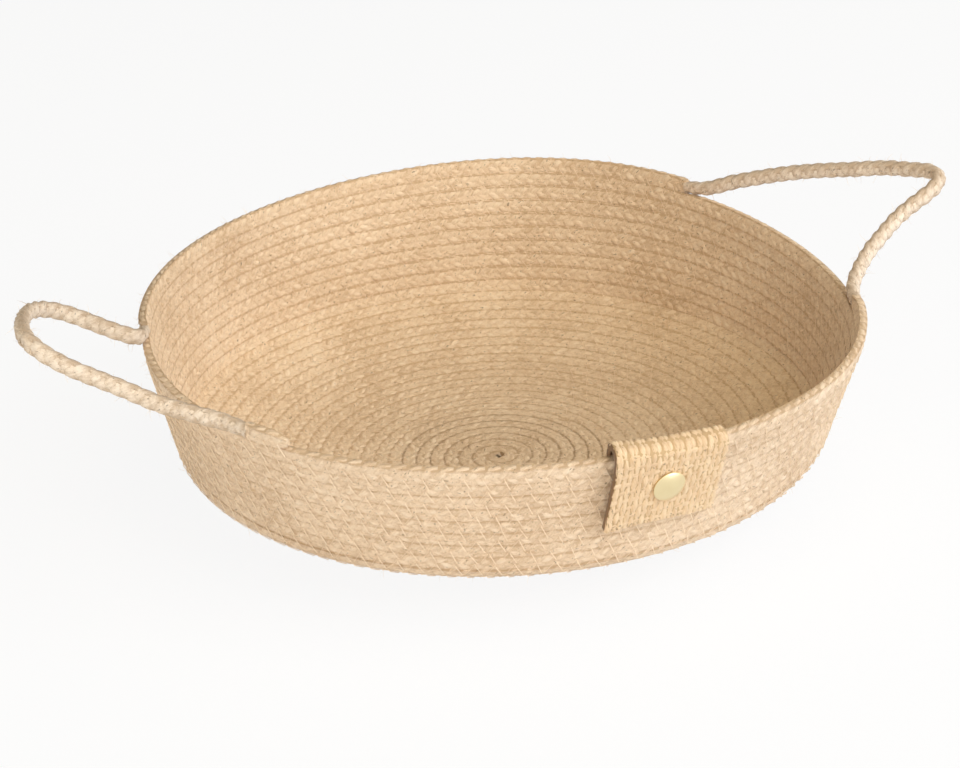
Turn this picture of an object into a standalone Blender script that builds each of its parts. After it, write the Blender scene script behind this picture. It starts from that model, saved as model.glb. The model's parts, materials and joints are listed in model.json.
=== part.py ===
"""Round tray basket, sewn from one plaited jute rope, with two rope loops as handles.

The rope starts in the middle of the floor and winds outward, flat at first and then
rising like a dish, turns up through a rounded corner and climbs the wall. In its last
course it leaves the rim twice for the handles, and it ends just after the second one.
A strip of jute webbing is folded over the rim and held by a two-part brass rivet.

Frame: +Z up, the origin on the table under the middle of the base, the handles
towards +X and -X, and the webbing tab at -Y. Lengths are in metres.
"""

import math

import bmesh
import bpy
from mathutils import Matrix, Vector

# Rope and courses
ROPE_DIAMETER = 0.0050
COURSE_GAP = 0.0006
STAND_CUT = 0.0005
SEAT_GAP = 0.0003
MILLIMETRE = 0.001
WELD = 0.00002
OVERRUN = 0.002
SHARP_ANGLE = math.radians(50)

# Basket body, measured to the middle of the rope. The floor is flat in its
# middle, then rises like a dish to the corner, where the wall starts
RIM_RADIUS = 0.140
RIM_HEIGHT = 0.0734
FLAT_RADIUS = 0.045
FLOOR_RISE_DEGREES = 27.2
CORNER_RADIUS = 0.0081
WALL_LEAN_DEGREES = 14.7

# The hand-sewn basket wanders: where its corner starts further out its wall is
# lower, and its rim isn't a true circle. Each entry is lobes round the basket,
# size as a share of the rim radius, and the place of a peak in degrees
CORNER_WAVE_SHARES = ((1, 0.0184, -103.7), (2, 0.0145, -83.4), (3, 0.0063, -23.6))
RIM_WAVE_SHARES = (
    (1, 0.0117, -2.7), (2, 0.0189, 67.0), (3, 0.0255, -56.1), (4, 0.0067, 40.4),
)
RIM_WAVE_GROWTH = 1.5

# Places round the rim, in degrees from +X
ROPE_END_DEGREES = 213.0
TAB_DEGREES = 267.7
RIGHT_ROOTS_DEGREES = (-30.0, 24.0)
LEFT_ROOTS_DEGREES = (166.0, 204.0)

# Handles: reach from the chord between the two roots, and tilt up from level
HANDLE_ROPE_DIAMETER = 0.0064
RIGHT_HANDLE_REACH = 0.066
LEFT_HANDLE_REACH = 0.062
HANDLE_TILT_DEGREES = 25.0
ROOT_RUN = 0.0018
HANDLE_RUN = 0.0035
ROOT_SWELL = 0.012
ROOT_THICKNESS_SHARE = 0.80
TIP_THICKNESS_SHARE = 0.7

# Loop outlines: along the chord as a share of half its length, from the first
# root to the second, then outward and up from the loop's plane as shares of the reach
RIGHT_LOOP_SHARES = (
    (0.89, 0.06, 0.0), (0.78, 0.18, 0.0), (0.69, 0.32, 0.0), (0.63, 0.46, 0.0),
    (0.58, 0.60, 0.0), (0.56, 0.74, 0.0), (0.55, 0.89, 0.0), (0.50, 0.98, 0.0),
    (0.40, 1.00, 0.0), (0.25, 0.94, 0.0), (0.06, 0.85, 0.0), (-0.12, 0.73, 0.0),
    (-0.31, 0.61, 0.0), (-0.49, 0.48, 0.0), (-0.65, 0.34, 0.0), (-0.80, 0.19, 0.0),
    (-0.91, 0.06, 0.0),
)
LEFT_LOOP_SHARES = (
    (0.89, 0.08, 0.0), (0.91, 0.20, 0.0), (1.00, 0.31, 0.0), (1.12, 0.43, 0.0),
    (1.17, 0.56, 0.0), (1.10, 0.69, 0.0), (0.90, 0.82, 0.0), (0.55, 0.94, 0.0),
    (0.21, 1.00, 0.0), (0.02, 0.94, -0.02), (-0.12, 0.82, -0.04), (-0.23, 0.67, -0.05),
    (-0.34, 0.51, -0.06), (-0.48, 0.35, -0.07), (-0.66, 0.20, -0.05), (-0.84, 0.07, -0.02),
)

# Webbing tab: its left side, seen from outside, sits higher and stands off the wall
TAB_WIDTH = 0.042
TAB_OUTER_LENGTH = 0.0270
TAB_INNER_LENGTH = 0.0290
TAB_THICKNESS = 0.0022
TAB_LIFT = 0.0006
TAB_FOLD_LEFT = 0.0041
TAB_FOLD_RIGHT = 0.0016
TAB_END_RISE = 0.0030
TAB_STAND_OFF = 0.0030
TAB_SKEW_SHARE = 0.075

# Rivet: how many courses below the rim it passes, and its parts
RIVET_COURSES_DOWN = 1.77
CAP_DIAMETER = 0.0122
CAP_HEIGHT = 0.0022
CAP_EDGE = 0.0006
COLLAR_DIAMETER = 0.0046
COLLAR_LENGTH = 0.0022
BACK_DIAMETER = 0.0095
BACK_HEIGHT = 0.0014
POST_DIAMETER = 0.0030
POST_CLEARANCE = 0.0003

# Facet counts
LOOP_POINTS = 24
INNER_LOOP_POINTS = 12
INNER_LOOPS = 5
HOOK_POINTS = 7
HOOK_END_SHARE = 0.3
ROPE_RESOLUTION = 1
HANDLE_RESOLUTION = 2
HANDLE_STEPS = 3
TURNED_STEPS = 32
DOME_STEPS = 6
FOLD_STEPS = 10
TAB_ROWS = 4
TAB_COURSES = 5
TAB_COLUMNS = 8

# Colours
JUTE = (0.72, 0.53, 0.35)
JUTE_WEBBING = (0.74, 0.52, 0.31)
BRASS = (0.80, 0.70, 0.42)
JUTE_ROUGHNESS = 0.85
BRASS_ROUGHNESS = 0.35

# Values worked out from the sizes above
PITCH = ROPE_DIAMETER + COURSE_GAP
ROPE_RADIUS = ROPE_DIAMETER / 2
HALF_THICKNESS = ROPE_RADIUS * math.cos(math.pi / 6)
BASE_HEIGHT = HALF_THICKNESS - STAND_CUT
FLOOR_ANGLE = math.radians(FLOOR_RISE_DEGREES)
WALL_ANGLE = math.radians(90 - WALL_LEAN_DEGREES)
CORNER_LENGTH = CORNER_RADIUS * (WALL_ANGLE - FLOOR_ANGLE)
CORNER_OUT = CORNER_RADIUS * (math.sin(WALL_ANGLE) - math.sin(FLOOR_ANGLE))
CORNER_UP = CORNER_RADIUS * (math.cos(FLOOR_ANGLE) - math.cos(WALL_ANGLE))
DISH_AND_WALL_OUT = RIM_RADIUS - FLAT_RADIUS - CORNER_OUT
DISH_AND_WALL_UP = RIM_HEIGHT - BASE_HEIGHT - CORNER_UP
DISH_OUT_SHARE = math.sin(FLOOR_ANGLE)
DISH_UP_SHARE = 1 - math.cos(FLOOR_ANGLE)
WALL_OUT_SHARE = math.cos(WALL_ANGLE)
WALL_UP_SHARE = math.sin(WALL_ANGLE)
SOLVER = DISH_OUT_SHARE * WALL_UP_SHARE - WALL_OUT_SHARE * DISH_UP_SHARE
DISH_RADIUS = (DISH_AND_WALL_OUT * WALL_UP_SHARE - DISH_AND_WALL_UP * WALL_OUT_SHARE) / SOLVER
WALL_LENGTH = (DISH_AND_WALL_UP * DISH_OUT_SHARE - DISH_AND_WALL_OUT * DISH_UP_SHARE) / SOLVER
FLOOR_REACH = FLAT_RADIUS + DISH_RADIUS * FLOOR_ANGLE
ROPE_REACH = FLOOR_REACH + CORNER_LENGTH + WALL_LENGTH
END_TURNS = ROPE_REACH / PITCH
STEP = 1 / LOOP_POINTS
TAB_TURN = END_TURNS - ((ROPE_END_DEGREES - TAB_DEGREES) % 360) / 360
PHASE = (TAB_TURN + STEP / 2) % STEP
LAST_BASE_TURN = math.floor((FLOOR_REACH / PITCH - PHASE) / STEP) * STEP + PHASE
FIRST_WALL_TURN = LAST_BASE_TURN + STEP
ROOT_TURNS = 2 * ROOT_RUN / (2 * math.pi * RIM_RADIUS)
TAB_SHIFT = TAB_INNER_LENGTH * TAB_SKEW_SHARE
TAB_END_RADIUS = RIM_RADIUS - TAB_INNER_LENGTH * WALL_OUT_SHARE
TAB_OVERHANG = max(TAB_WIDTH / 2 + TAB_SHIFT - TAB_END_RADIUS * math.sin(math.pi * STEP), 0.0)
TAB_BOW = TAB_OVERHANG * math.tan(2 * math.pi * STEP)
TAB_OUTSIDE = HALF_THICKNESS + TAB_LIFT + TAB_THICKNESS / 2
TAB_INSIDE = TAB_OUTSIDE + TAB_BOW
CAP_SEAT = TAB_OUTSIDE + TAB_THICKNESS / 2 + SEAT_GAP
BACK_SEAT = -TAB_INSIDE - TAB_THICKNESS / 2 - SEAT_GAP
RIVET_DROP = RIVET_COURSES_DOWN * PITCH


def clear_scene():
    """Remove the objects of the start-up scene."""
    for item in list(bpy.data.objects):
        bpy.data.objects.remove(item, do_unlink=True)


def material(name, colour, roughness, metallic=0.0):
    """A Principled BSDF material in one colour."""
    result = bpy.data.materials.new(name)
    result.use_nodes = True
    shader = result.node_tree.nodes["Principled BSDF"]
    shader.inputs["Base Color"].default_value = (*colour, 1.0)
    shader.inputs["Roughness"].default_value = roughness
    shader.inputs["Metallic"].default_value = metallic
    result.diffuse_color = (*colour, 1.0)
    return result


def add_object(name, data, surface):
    """Put mesh or curve data into the scene as a named object."""
    item = bpy.data.objects.new(name, data)
    data.materials.clear()
    data.materials.append(surface)
    bpy.context.scene.collection.objects.link(item)
    return item


def wave(shares, degrees):
    """The sum of a table of waves at one place, as a length."""
    return RIM_RADIUS * sum(
        share * math.cos(lobes * math.radians(degrees - peak))
        for lobes, share, peak in shares
    )


def bend(start, radius, first_angle, last_angle):
    """The end of an arc of the outline, from its start and between two steepnesses."""
    out = radius * (math.sin(last_angle) - math.sin(first_angle))
    up = radius * (math.cos(first_angle) - math.cos(last_angle))
    return start[0] + out, start[1] + up


def meridian(reach, floor_reach):
    """Radius, height and steepness of the basket's outline, reach along it from the middle."""
    if reach <= FLAT_RADIUS:
        return reach, BASE_HEIGHT, 0.0
    dish_radius = (floor_reach - FLAT_RADIUS) / FLOOR_ANGLE
    angle = min((reach - FLAT_RADIUS) / dish_radius, FLOOR_ANGLE)
    place = bend((FLAT_RADIUS, BASE_HEIGHT), dish_radius, 0.0, angle)
    if reach <= floor_reach:
        return *place, angle
    angle = min(FLOOR_ANGLE + (reach - floor_reach) / CORNER_RADIUS, WALL_ANGLE)
    place = bend(place, CORNER_RADIUS, FLOOR_ANGLE, angle)
    up = max(reach - floor_reach - CORNER_LENGTH, 0.0)
    return place[0] + up * WALL_OUT_SHARE, place[1] + up * WALL_UP_SHARE, angle


def course_point(degrees, reach):
    """A point on the middle of a course, and the steepness of the wall there."""
    floor_reach = FLOOR_REACH + wave(CORNER_WAVE_SHARES, degrees)
    radius, height, steepness = meridian(reach, floor_reach)
    climb = max(reach - floor_reach, 0.0) / (ROPE_REACH - FLOOR_REACH)
    radius += climb ** RIM_WAVE_GROWTH * wave(RIM_WAVE_SHARES, degrees)
    angle = math.radians(degrees)
    return Vector((radius * math.cos(angle), radius * math.sin(angle), height)), steepness


def turn_degrees(turn):
    """The place round the rim that the rope passes at a turn, counted from the middle."""
    return ROPE_END_DEGREES + 360 * (turn - END_TURNS)


def last_turn_at(degrees):
    """The turn at which the rope's last course passes a place round the rim."""
    return END_TURNS - ((ROPE_END_DEGREES - degrees) % 360) / 360


def rope_at(turn):
    """The rope's middle and the wall's steepness at a turn."""
    return course_point(turn_degrees(turn), turn * PITCH)


def even_turns(first, last):
    """Turns from first to last, with the points of all courses in line."""
    turns = [first]
    for count in range(math.ceil((first - PHASE) / STEP), math.ceil((last - PHASE) / STEP)):
        turn = count * STEP + PHASE
        skipped = turn < INNER_LOOPS and count % (LOOP_POINTS // INNER_LOOP_POINTS)
        near_end = min(turn - first, last - turn) < STEP / 4
        if not skipped and not near_end:
            turns.append(turn)
    return turns + [last]


def rope_curve(name, points, tilts, diameter, resolution, thickness_shares=None):
    """A rope as a curve with a round bevel and closed ends."""
    data = bpy.data.curves.new(name, "CURVE")
    data.dimensions = "3D"
    data.twist_mode = "Z_UP"
    data.bevel_depth = diameter / 2
    data.bevel_resolution = resolution
    data.use_fill_caps = True
    spline = data.splines.new("POLY")
    spline.points.add(len(points) - 1)
    spline.use_smooth = True
    for index, point in enumerate(points):
        spline.points[index].co = (*point, 1.0)
        spline.points[index].tilt = tilts[index]
        if thickness_shares:
            spline.points[index].radius = thickness_shares[index]
    return data


def rope_mesh(name, points, tilts, surface):
    """A wound rope as a mesh, pressed flat where it stands on the table."""
    data = rope_curve(name, points, tilts, ROPE_DIAMETER, ROPE_RESOLUTION)
    source = bpy.data.objects.new(name + "_route", data)
    bpy.context.scene.collection.objects.link(source)
    graph = bpy.context.evaluated_depsgraph_get()
    mesh = bpy.data.meshes.new_from_object(source.evaluated_get(graph))
    bpy.data.objects.remove(source, do_unlink=True)
    mesh.name = name
    shell = bmesh.new()
    shell.from_mesh(mesh)
    bmesh.ops.remove_doubles(shell, verts=shell.verts, dist=WELD)
    for corner in shell.verts:
        corner.co.z = max(corner.co.z, 0.0)
    bmesh.ops.recalc_face_normals(shell, faces=shell.faces)
    shell.to_mesh(mesh)
    shell.free()
    mesh.shade_smooth()
    mesh.set_sharp_from_angle(angle=SHARP_ANGLE)
    return add_object(name, mesh, surface)


def print_least_gap(name, points):
    """Print the least gap between a wound rope and its own other courses."""
    window = LOOP_POINTS // 3
    least = min(
        (point - other).length
        for index, point in enumerate(points)
        for other in points[index + window:]
    )
    print(f"{name}: least gap to itself {(least - ROPE_DIAMETER) / MILLIMETRE:.2f} mm")


def start_hook():
    """The rope's start: a short straight end, then a half turn into the first course."""
    radius = PITCH / 2
    points = [Vector((-radius * HOOK_END_SHARE, 0, BASE_HEIGHT))]
    for index in range(HOOK_POINTS):
        angle = math.pi * (index / HOOK_POINTS - 1 / 2)
        across, along = radius * math.cos(angle), radius * (1 + math.sin(angle))
        points.append(Vector((across, along, BASE_HEIGHT)))
    turned = Matrix.Rotation(math.radians(turn_degrees(1) - 90), 4, "Z")
    return [turned @ point for point in points]


def shortened(points, length):
    """The points with the last one drawn back along the rope."""
    direction = (points[-1] - points[-2]).normalized()
    return points[:-1] + [points[-1] - direction * length]


def split_point():
    """Where the base's rope meets the wall's: half way along a straight step of the route."""
    start = rope_at(LAST_BASE_TURN)[0]
    return (start + rope_at(FIRST_WALL_TURN)[0]) / 2


def base_coil(surface):
    """The floor: a spiral from the middle to the start of the corner."""
    places = [rope_at(turn) for turn in even_turns(1, LAST_BASE_TURN)]
    points = start_hook() + [place[0] for place in places] + [split_point()]
    points = shortened(points, SEAT_GAP / 2)
    print_least_gap("base_coil", points)
    steepness = [0.0] * (HOOK_POINTS + 1) + [place[1] for place in places + places[-1:]]
    return rope_mesh("base_coil", points, [-angle for angle in steepness], surface)


def root_frame(roots_degrees):
    """A handle's hinge line: x along it from its second root to its first, y level and outward."""
    first, second = (rope_at(last_turn_at(degrees))[0] for degrees in roots_degrees)
    along = (first - second).normalized()
    outward = Vector((0, 0, 1)).cross(along).normalized()
    upward = along.cross(outward)
    frame = Matrix((along, outward, upward)).transposed().to_4x4()
    frame.translation = (first + second) / 2
    return frame, (first - second).length / 2


def root_stub(roots_degrees, which):
    """Where a rim course meets a handle: its last run, turned in line with the hinge."""
    frame, half_span = root_frame(roots_degrees)
    side = 1 - 2 * which
    return [
        frame @ Vector((side * (half_span + SEAT_GAP / 2), 0, 0)),
        frame @ Vector((side * (half_span + ROOT_RUN), 0, 0)),
    ]


def wall_coil(surface):
    """The wall: the corner's courses and the wall's, up to the right handle's first root."""
    last = last_turn_at(RIGHT_ROOTS_DEGREES[0]) - ROOT_TURNS
    places = [rope_at(turn) for turn in even_turns(FIRST_WALL_TURN, last)]
    points = [split_point()] + [place[0] for place in places]
    points = shortened(points[::-1], SEAT_GAP / 2)[::-1]
    points += root_stub(RIGHT_ROOTS_DEGREES, 0)[::-1]
    print_least_gap("wall_coil", points)
    steepness = [place[1] for place in places[:1] + places] + [WALL_ANGLE] * 2
    return rope_mesh("wall_coil", points, [-angle for angle in steepness], surface)


def rim_rope(surface):
    """The last course between the two handles, round the back of the rim."""
    first = last_turn_at(RIGHT_ROOTS_DEGREES[1]) + ROOT_TURNS
    last = last_turn_at(LEFT_ROOTS_DEGREES[0]) - ROOT_TURNS
    points = root_stub(RIGHT_ROOTS_DEGREES, 1)
    points += [rope_at(turn)[0] for turn in even_turns(first, last)]
    points += root_stub(LEFT_ROOTS_DEGREES, 0)[::-1]
    tilts = [-WALL_ANGLE] * len(points)
    data = rope_curve("rim_rope", points, tilts, ROPE_DIAMETER, ROPE_RESOLUTION)
    return add_object("rim_rope", data, surface)


def rope_tail(surface):
    """The end of the rope, from the left handle to its cut and sewn-down tip."""
    first = last_turn_at(LEFT_ROOTS_DEGREES[1]) + ROOT_TURNS
    turns = even_turns(first, END_TURNS)
    points = root_stub(LEFT_ROOTS_DEGREES, 1) + [rope_at(turn)[0] for turn in turns]
    tilts = [-WALL_ANGLE] * len(points)
    shares = [1.0] * (len(points) - 1) + [TIP_THICKNESS_SHARE]
    data = rope_curve("rope_tail", points, tilts, ROPE_DIAMETER, ROPE_RESOLUTION, shares)
    return add_object("rope_tail", data, surface)


def smooth_route(points, steps):
    """A smooth curve through a route's points, with a number of steps between each two."""
    ends = [2 * points[0] - points[1]] + points + [2 * points[-1] - points[-2]]
    route = []
    for before, start, end, after in zip(ends, ends[1:], ends[2:], ends[3:]):
        for index in range(steps):
            t = index / steps
            first = (end - before) * t
            second = (2 * before - 5 * start + 4 * end - after) * t ** 2
            third = (3 * start - before - 3 * end + after) * t ** 3
            route.append(start + (first + second + third) / 2)
    return route + [points[-1]]


def handle(name, roots_degrees, reach, loop_shares, surface):
    """A handle: a free loop of the rope, on a parent empty that turns about its two roots."""
    frame, half_span = root_frame(roots_degrees)
    hinge = bpy.data.objects.new(name + "_hinge", None)
    bpy.context.scene.collection.objects.link(hinge)
    hinge.matrix_world = frame @ Matrix.Rotation(math.radians(HANDLE_TILT_DEGREES), 4, "X")
    end = half_span - SEAT_GAP / 2
    run = half_span - HANDLE_RUN
    loop = [
        Vector((along * half_span, out * reach, rise * reach))
        for along, out, rise in loop_shares
    ]
    points = smooth_route([Vector((run, 0, 0))] + loop + [Vector((-run, 0, 0))], HANDLE_STEPS)
    points = [Vector((end, 0, 0))] + points + [Vector((-end, 0, 0))]
    travelled = [0.0]
    for start, stop in zip(points, points[1:]):
        travelled.append(travelled[-1] + (stop - start).length)
    print(f"{name}: rope length {travelled[-1] / MILLIMETRE:.0f} mm")
    shares = []
    for length in travelled:
        freed = min(length, travelled[-1] - length) / ROOT_SWELL
        shares.append(ROOT_THICKNESS_SHARE + (1 - ROOT_THICKNESS_SHARE) * min(freed, 1.0))
    tilts = [0.0] * len(points)
    data = rope_curve(name, points, tilts, HANDLE_ROPE_DIAMETER, HANDLE_RESOLUTION, shares)
    item = add_object(name, data, surface)
    item.parent = hinge
    return item


def wall_line(side, drop):
    """A point on the wall's middle at one end of the step behind the tab."""
    turn = TAB_TURN + side * STEP / 2
    course = min(math.floor(drop / PITCH), TAB_COURSES - 1)
    upper, lower = (rope_at(turn - course - down)[0] for down in (0, 1))
    return upper.lerp(lower, drop / PITCH - course)


def tab_frame(aside, drop):
    """A place on the wall's middle behind the tab: x round the rim, y up the wall, z out of it.

    Aside is the way to the right of the tab's slanting middle line, drop that from the rim.
    """
    step_line = wall_line(1, drop) - wall_line(-1, drop)
    share = (aside - drop * TAB_SKEW_SHARE) / step_line.length
    here, below = (
        wall_line(-1, depth).lerp(wall_line(1, depth), share + 1 / 2)
        for depth in (drop, drop + PITCH)
    )
    across = step_line.normalized()
    up = here - below
    up = (up - across * up.dot(across)).normalized()
    frame = Matrix((across, up, across.cross(up))).transposed().to_4x4()
    frame.translation = here
    return frame


def tab_profile(across):
    """The folded strip seen from its side: heights over the rim course and ways out of it.

    Across is the place on the strip's width, from -1 at its left edge to 1 at its right.
    """
    leftness = (1 - across) / 2
    outside = TAB_OUTSIDE + TAB_STAND_OFF * max(-across, 0.0) ** 2
    fold = TAB_FOLD_RIGHT + (TAB_FOLD_LEFT - TAB_FOLD_RIGHT) * leftness
    outer_end = TAB_END_RISE * leftness - TAB_OUTER_LENGTH
    middle = (outside - TAB_INSIDE) / 2
    radius = (outside + TAB_INSIDE) / 2
    points = [
        (outer_end + (fold - outer_end) * row / TAB_ROWS, outside) for row in range(TAB_ROWS)
    ]
    for step in range(FOLD_STEPS + 1):
        angle = math.pi * step / FOLD_STEPS
        points.append((fold + radius * math.sin(angle), middle + radius * math.cos(angle)))
    for row in range(TAB_ROWS):
        points.append((fold - (fold + TAB_INNER_LENGTH) * (row + 1) / TAB_ROWS, -TAB_INSIDE))
    return points


def bored(item, cutter):
    """Bore a hole through an object with a Boolean modifier."""
    cut = item.modifiers.new("rivet_hole", "BOOLEAN")
    cut.operation = "DIFFERENCE"
    cut.solver = "EXACT"
    cut.object = cutter
    return item


def tab(surface, cutter):
    """The webbing tab: a flat strip folded over the rim, with a hole for the rivet."""
    strip = bmesh.new()
    columns = []
    for column in range(TAB_COLUMNS + 1):
        across = 2 * column / TAB_COLUMNS - 1
        aside = TAB_WIDTH * across / 2
        columns.append([
            strip.verts.new(tab_frame(aside, max(-up, 0)) @ Vector((0, max(up, 0), out)))
            for up, out in tab_profile(across)
        ])
    for left, right in zip(columns, columns[1:]):
        for row in range(len(left) - 1):
            strip.faces.new((left[row], right[row], right[row + 1], left[row + 1]))
    mesh = bpy.data.meshes.new("tab")
    strip.to_mesh(mesh)
    strip.free()
    mesh.shade_smooth()
    item = add_object("tab", mesh, surface)
    solid = item.modifiers.new("thickness", "SOLIDIFY")
    solid.thickness = TAB_THICKNESS
    solid.offset = 0.0
    return bored(item, cutter)


def turned(name, profile, surface):
    """A piece turned about z from a profile of radii and heights, placed at the rivet."""
    shell = bmesh.new()
    corners = [shell.verts.new((radius, 0, height)) for radius, height in profile]
    edges = [shell.edges.new(pair) for pair in zip(corners, corners[1:])]
    bmesh.ops.spin(
        shell, geom=corners + edges, cent=(0, 0, 0), axis=(0, 0, 1),
        angle=2 * math.pi, steps=TURNED_STEPS,
    )
    bmesh.ops.remove_doubles(shell, verts=shell.verts, dist=WELD)
    bmesh.ops.recalc_face_normals(shell, faces=shell.faces)
    mesh = bpy.data.meshes.new(name)
    shell.to_mesh(mesh)
    shell.free()
    mesh.shade_smooth()
    mesh.set_sharp_from_angle(angle=SHARP_ANGLE)
    item = add_object(name, mesh, surface)
    item.matrix_world = tab_frame(0, RIVET_DROP)
    return item


def dome(radius, height, base):
    """The points of a dome's outline, from its edge to its top."""
    bow = (radius ** 2 + height ** 2) / (2 * height)
    full = math.asin(radius / bow)
    return [
        (bow * math.sin(full * (1 - step / DOME_STEPS)),
         base + height - bow * (1 - math.cos(full * (1 - step / DOME_STEPS))))
        for step in range(DOME_STEPS + 1)
    ]


def rivet_cap(surface):
    """The rivet's outer half: a domed cap with a collar that takes the post."""
    bore = POST_DIAMETER / 2 + POST_CLEARANCE
    profile = [
        (0, CAP_SEAT), (bore, CAP_SEAT), (bore, CAP_SEAT - COLLAR_LENGTH),
        (COLLAR_DIAMETER / 2, CAP_SEAT - COLLAR_LENGTH), (COLLAR_DIAMETER / 2, CAP_SEAT),
        (CAP_DIAMETER / 2, CAP_SEAT),
    ]
    profile += dome(CAP_DIAMETER / 2, CAP_HEIGHT - CAP_EDGE, CAP_SEAT + CAP_EDGE)
    return turned("rivet_cap", profile, surface)


def rivet_post(surface):
    """The rivet's inner half: a low back cap with the post that fills the collar."""
    post = POST_DIAMETER / 2
    profile = [(0, CAP_SEAT - SEAT_GAP), (post, CAP_SEAT - SEAT_GAP), (post, BACK_SEAT)]
    profile += [(BACK_DIAMETER / 2, BACK_SEAT)]
    edge = BACK_SEAT - CAP_EDGE
    rounded = dome(BACK_DIAMETER / 2, BACK_HEIGHT - CAP_EDGE, 0)
    profile += [(radius, edge - height) for radius, height in rounded]
    return turned("rivet_post", profile, surface)


def rivet_hole(surface):
    """The cutter for the rivet: wide for the collar, then narrow for the post."""
    collar = COLLAR_DIAMETER / 2 + POST_CLEARANCE
    post = POST_DIAMETER / 2 + POST_CLEARANCE
    step = CAP_SEAT - COLLAR_LENGTH - SEAT_GAP
    profile = [
        (0, CAP_SEAT + OVERRUN), (collar, CAP_SEAT + OVERRUN), (collar, step),
        (post, step), (post, BACK_SEAT - OVERRUN), (0, BACK_SEAT - OVERRUN),
    ]
    item = turned("rivet_hole", profile, surface)
    item.hide_render = True
    item.display_type = "WIRE"
    return item


def build():
    """Build the basket."""
    clear_scene()
    jute = material("jute", JUTE, JUTE_ROUGHNESS)
    webbing = material("jute_webbing", JUTE_WEBBING, JUTE_ROUGHNESS)
    brass = material("brass", BRASS, BRASS_ROUGHNESS, metallic=1.0)
    cutter = rivet_hole(brass)
    base_coil(jute)
    bored(wall_coil(jute), cutter)
    rim_rope(jute)
    rope_tail(jute)
    handle("right_handle", RIGHT_ROOTS_DEGREES, RIGHT_HANDLE_REACH, RIGHT_LOOP_SHARES, jute)
    handle("left_handle", LEFT_ROOTS_DEGREES, LEFT_HANDLE_REACH, LEFT_LOOP_SHARES, jute)
    tab(webbing, cutter)
    rivet_cap(brass)
    rivet_post(brass)


build()
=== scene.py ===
"""Looks of the round tray basket: plaited jute rope, its sewing, a webbing tab and a brass rivet.

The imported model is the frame, and everything stands in its axes, in metres: +Z up, the
origin on the table under the middle of the floor, the handles towards +X and -X, and the
webbing tab at -Y. The rope's route follows the same rule as the solids: it winds out from
the middle of a dished floor, turns up into the wall, leaves the rim twice for the handles
and ends on the rim.
"""

from __future__ import annotations

import json
import logging
import math
from dataclasses import dataclass, field
from enum import Enum
from typing import Any, Sequence, Union

import bmesh
import bpy
import numpy as np
from mathutils import Matrix, Vector

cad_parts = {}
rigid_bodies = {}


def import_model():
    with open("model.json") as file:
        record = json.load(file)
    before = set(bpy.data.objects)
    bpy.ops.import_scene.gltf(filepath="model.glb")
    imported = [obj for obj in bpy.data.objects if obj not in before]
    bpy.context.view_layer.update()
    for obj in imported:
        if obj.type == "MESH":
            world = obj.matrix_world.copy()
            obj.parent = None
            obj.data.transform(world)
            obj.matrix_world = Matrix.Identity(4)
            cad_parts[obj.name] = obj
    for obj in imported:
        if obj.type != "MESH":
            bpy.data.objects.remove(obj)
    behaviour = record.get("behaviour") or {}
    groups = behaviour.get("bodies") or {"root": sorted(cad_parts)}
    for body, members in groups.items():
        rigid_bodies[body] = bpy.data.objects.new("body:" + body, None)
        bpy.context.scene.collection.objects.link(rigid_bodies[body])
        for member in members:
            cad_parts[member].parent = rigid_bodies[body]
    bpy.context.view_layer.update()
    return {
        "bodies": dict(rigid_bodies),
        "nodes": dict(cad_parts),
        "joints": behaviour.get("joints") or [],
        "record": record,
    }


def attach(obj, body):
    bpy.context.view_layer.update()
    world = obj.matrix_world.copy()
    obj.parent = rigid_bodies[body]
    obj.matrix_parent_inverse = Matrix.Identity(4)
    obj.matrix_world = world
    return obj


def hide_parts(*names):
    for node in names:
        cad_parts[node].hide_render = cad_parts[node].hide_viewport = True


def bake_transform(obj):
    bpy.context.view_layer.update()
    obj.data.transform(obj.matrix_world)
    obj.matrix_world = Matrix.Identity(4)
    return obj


LOG = logging.getLogger("basket")
MM = 0.001
UP = np.array((0.0, 0.0, 1.0))
WHITE = (1.0, 1.0, 1.0, 1.0)
VECTOR = "FLOAT_VECTOR"
Triple = tuple[float, float, float]
Inputs = dict[Any, Any]


class Wire:
    """A node's output that adds Math nodes when it is used in an expression."""

    def __init__(self, book: NodeBook, socket: bpy.types.NodeSocket) -> None:
        """Keep the socket and the book that it belongs to."""
        self.book = book
        self.socket = socket

    def __add__(self, other: Term) -> Wire:
        """Return self + other."""
        return self.book.math("ADD", self, other)

    def __sub__(self, other: Term) -> Wire:
        """Return self - other."""
        return self.book.math("SUBTRACT", self, other)

    def __rsub__(self, other: Term) -> Wire:
        """Return other - self."""
        return self.book.math("SUBTRACT", other, self)

    def __mul__(self, other: Term) -> Wire:
        """Return self * other."""
        return self.book.math("MULTIPLY", self, other)

    def __truediv__(self, other: Term) -> Wire:
        """Return self / other."""
        return self.book.math("DIVIDE", self, other)

    def __gt__(self, other: Term) -> Wire:
        """Return 1 where self is over other, and 0 elsewhere."""
        return self.book.math("GREATER_THAN", self, other)

    __radd__ = __add__
    __rmul__ = __mul__

    def clamped(self) -> Wire:
        """Return self kept from 0 to 1."""
        return self.book.wire("ShaderNodeClamp", {"Value": self})

    def axis(self, name: str) -> Wire:
        """Return one axis of a vector."""
        return self.book.wire("ShaderNodeSeparateXYZ", {"Vector": self}, name)


Term = Union[Wire, float]


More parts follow.
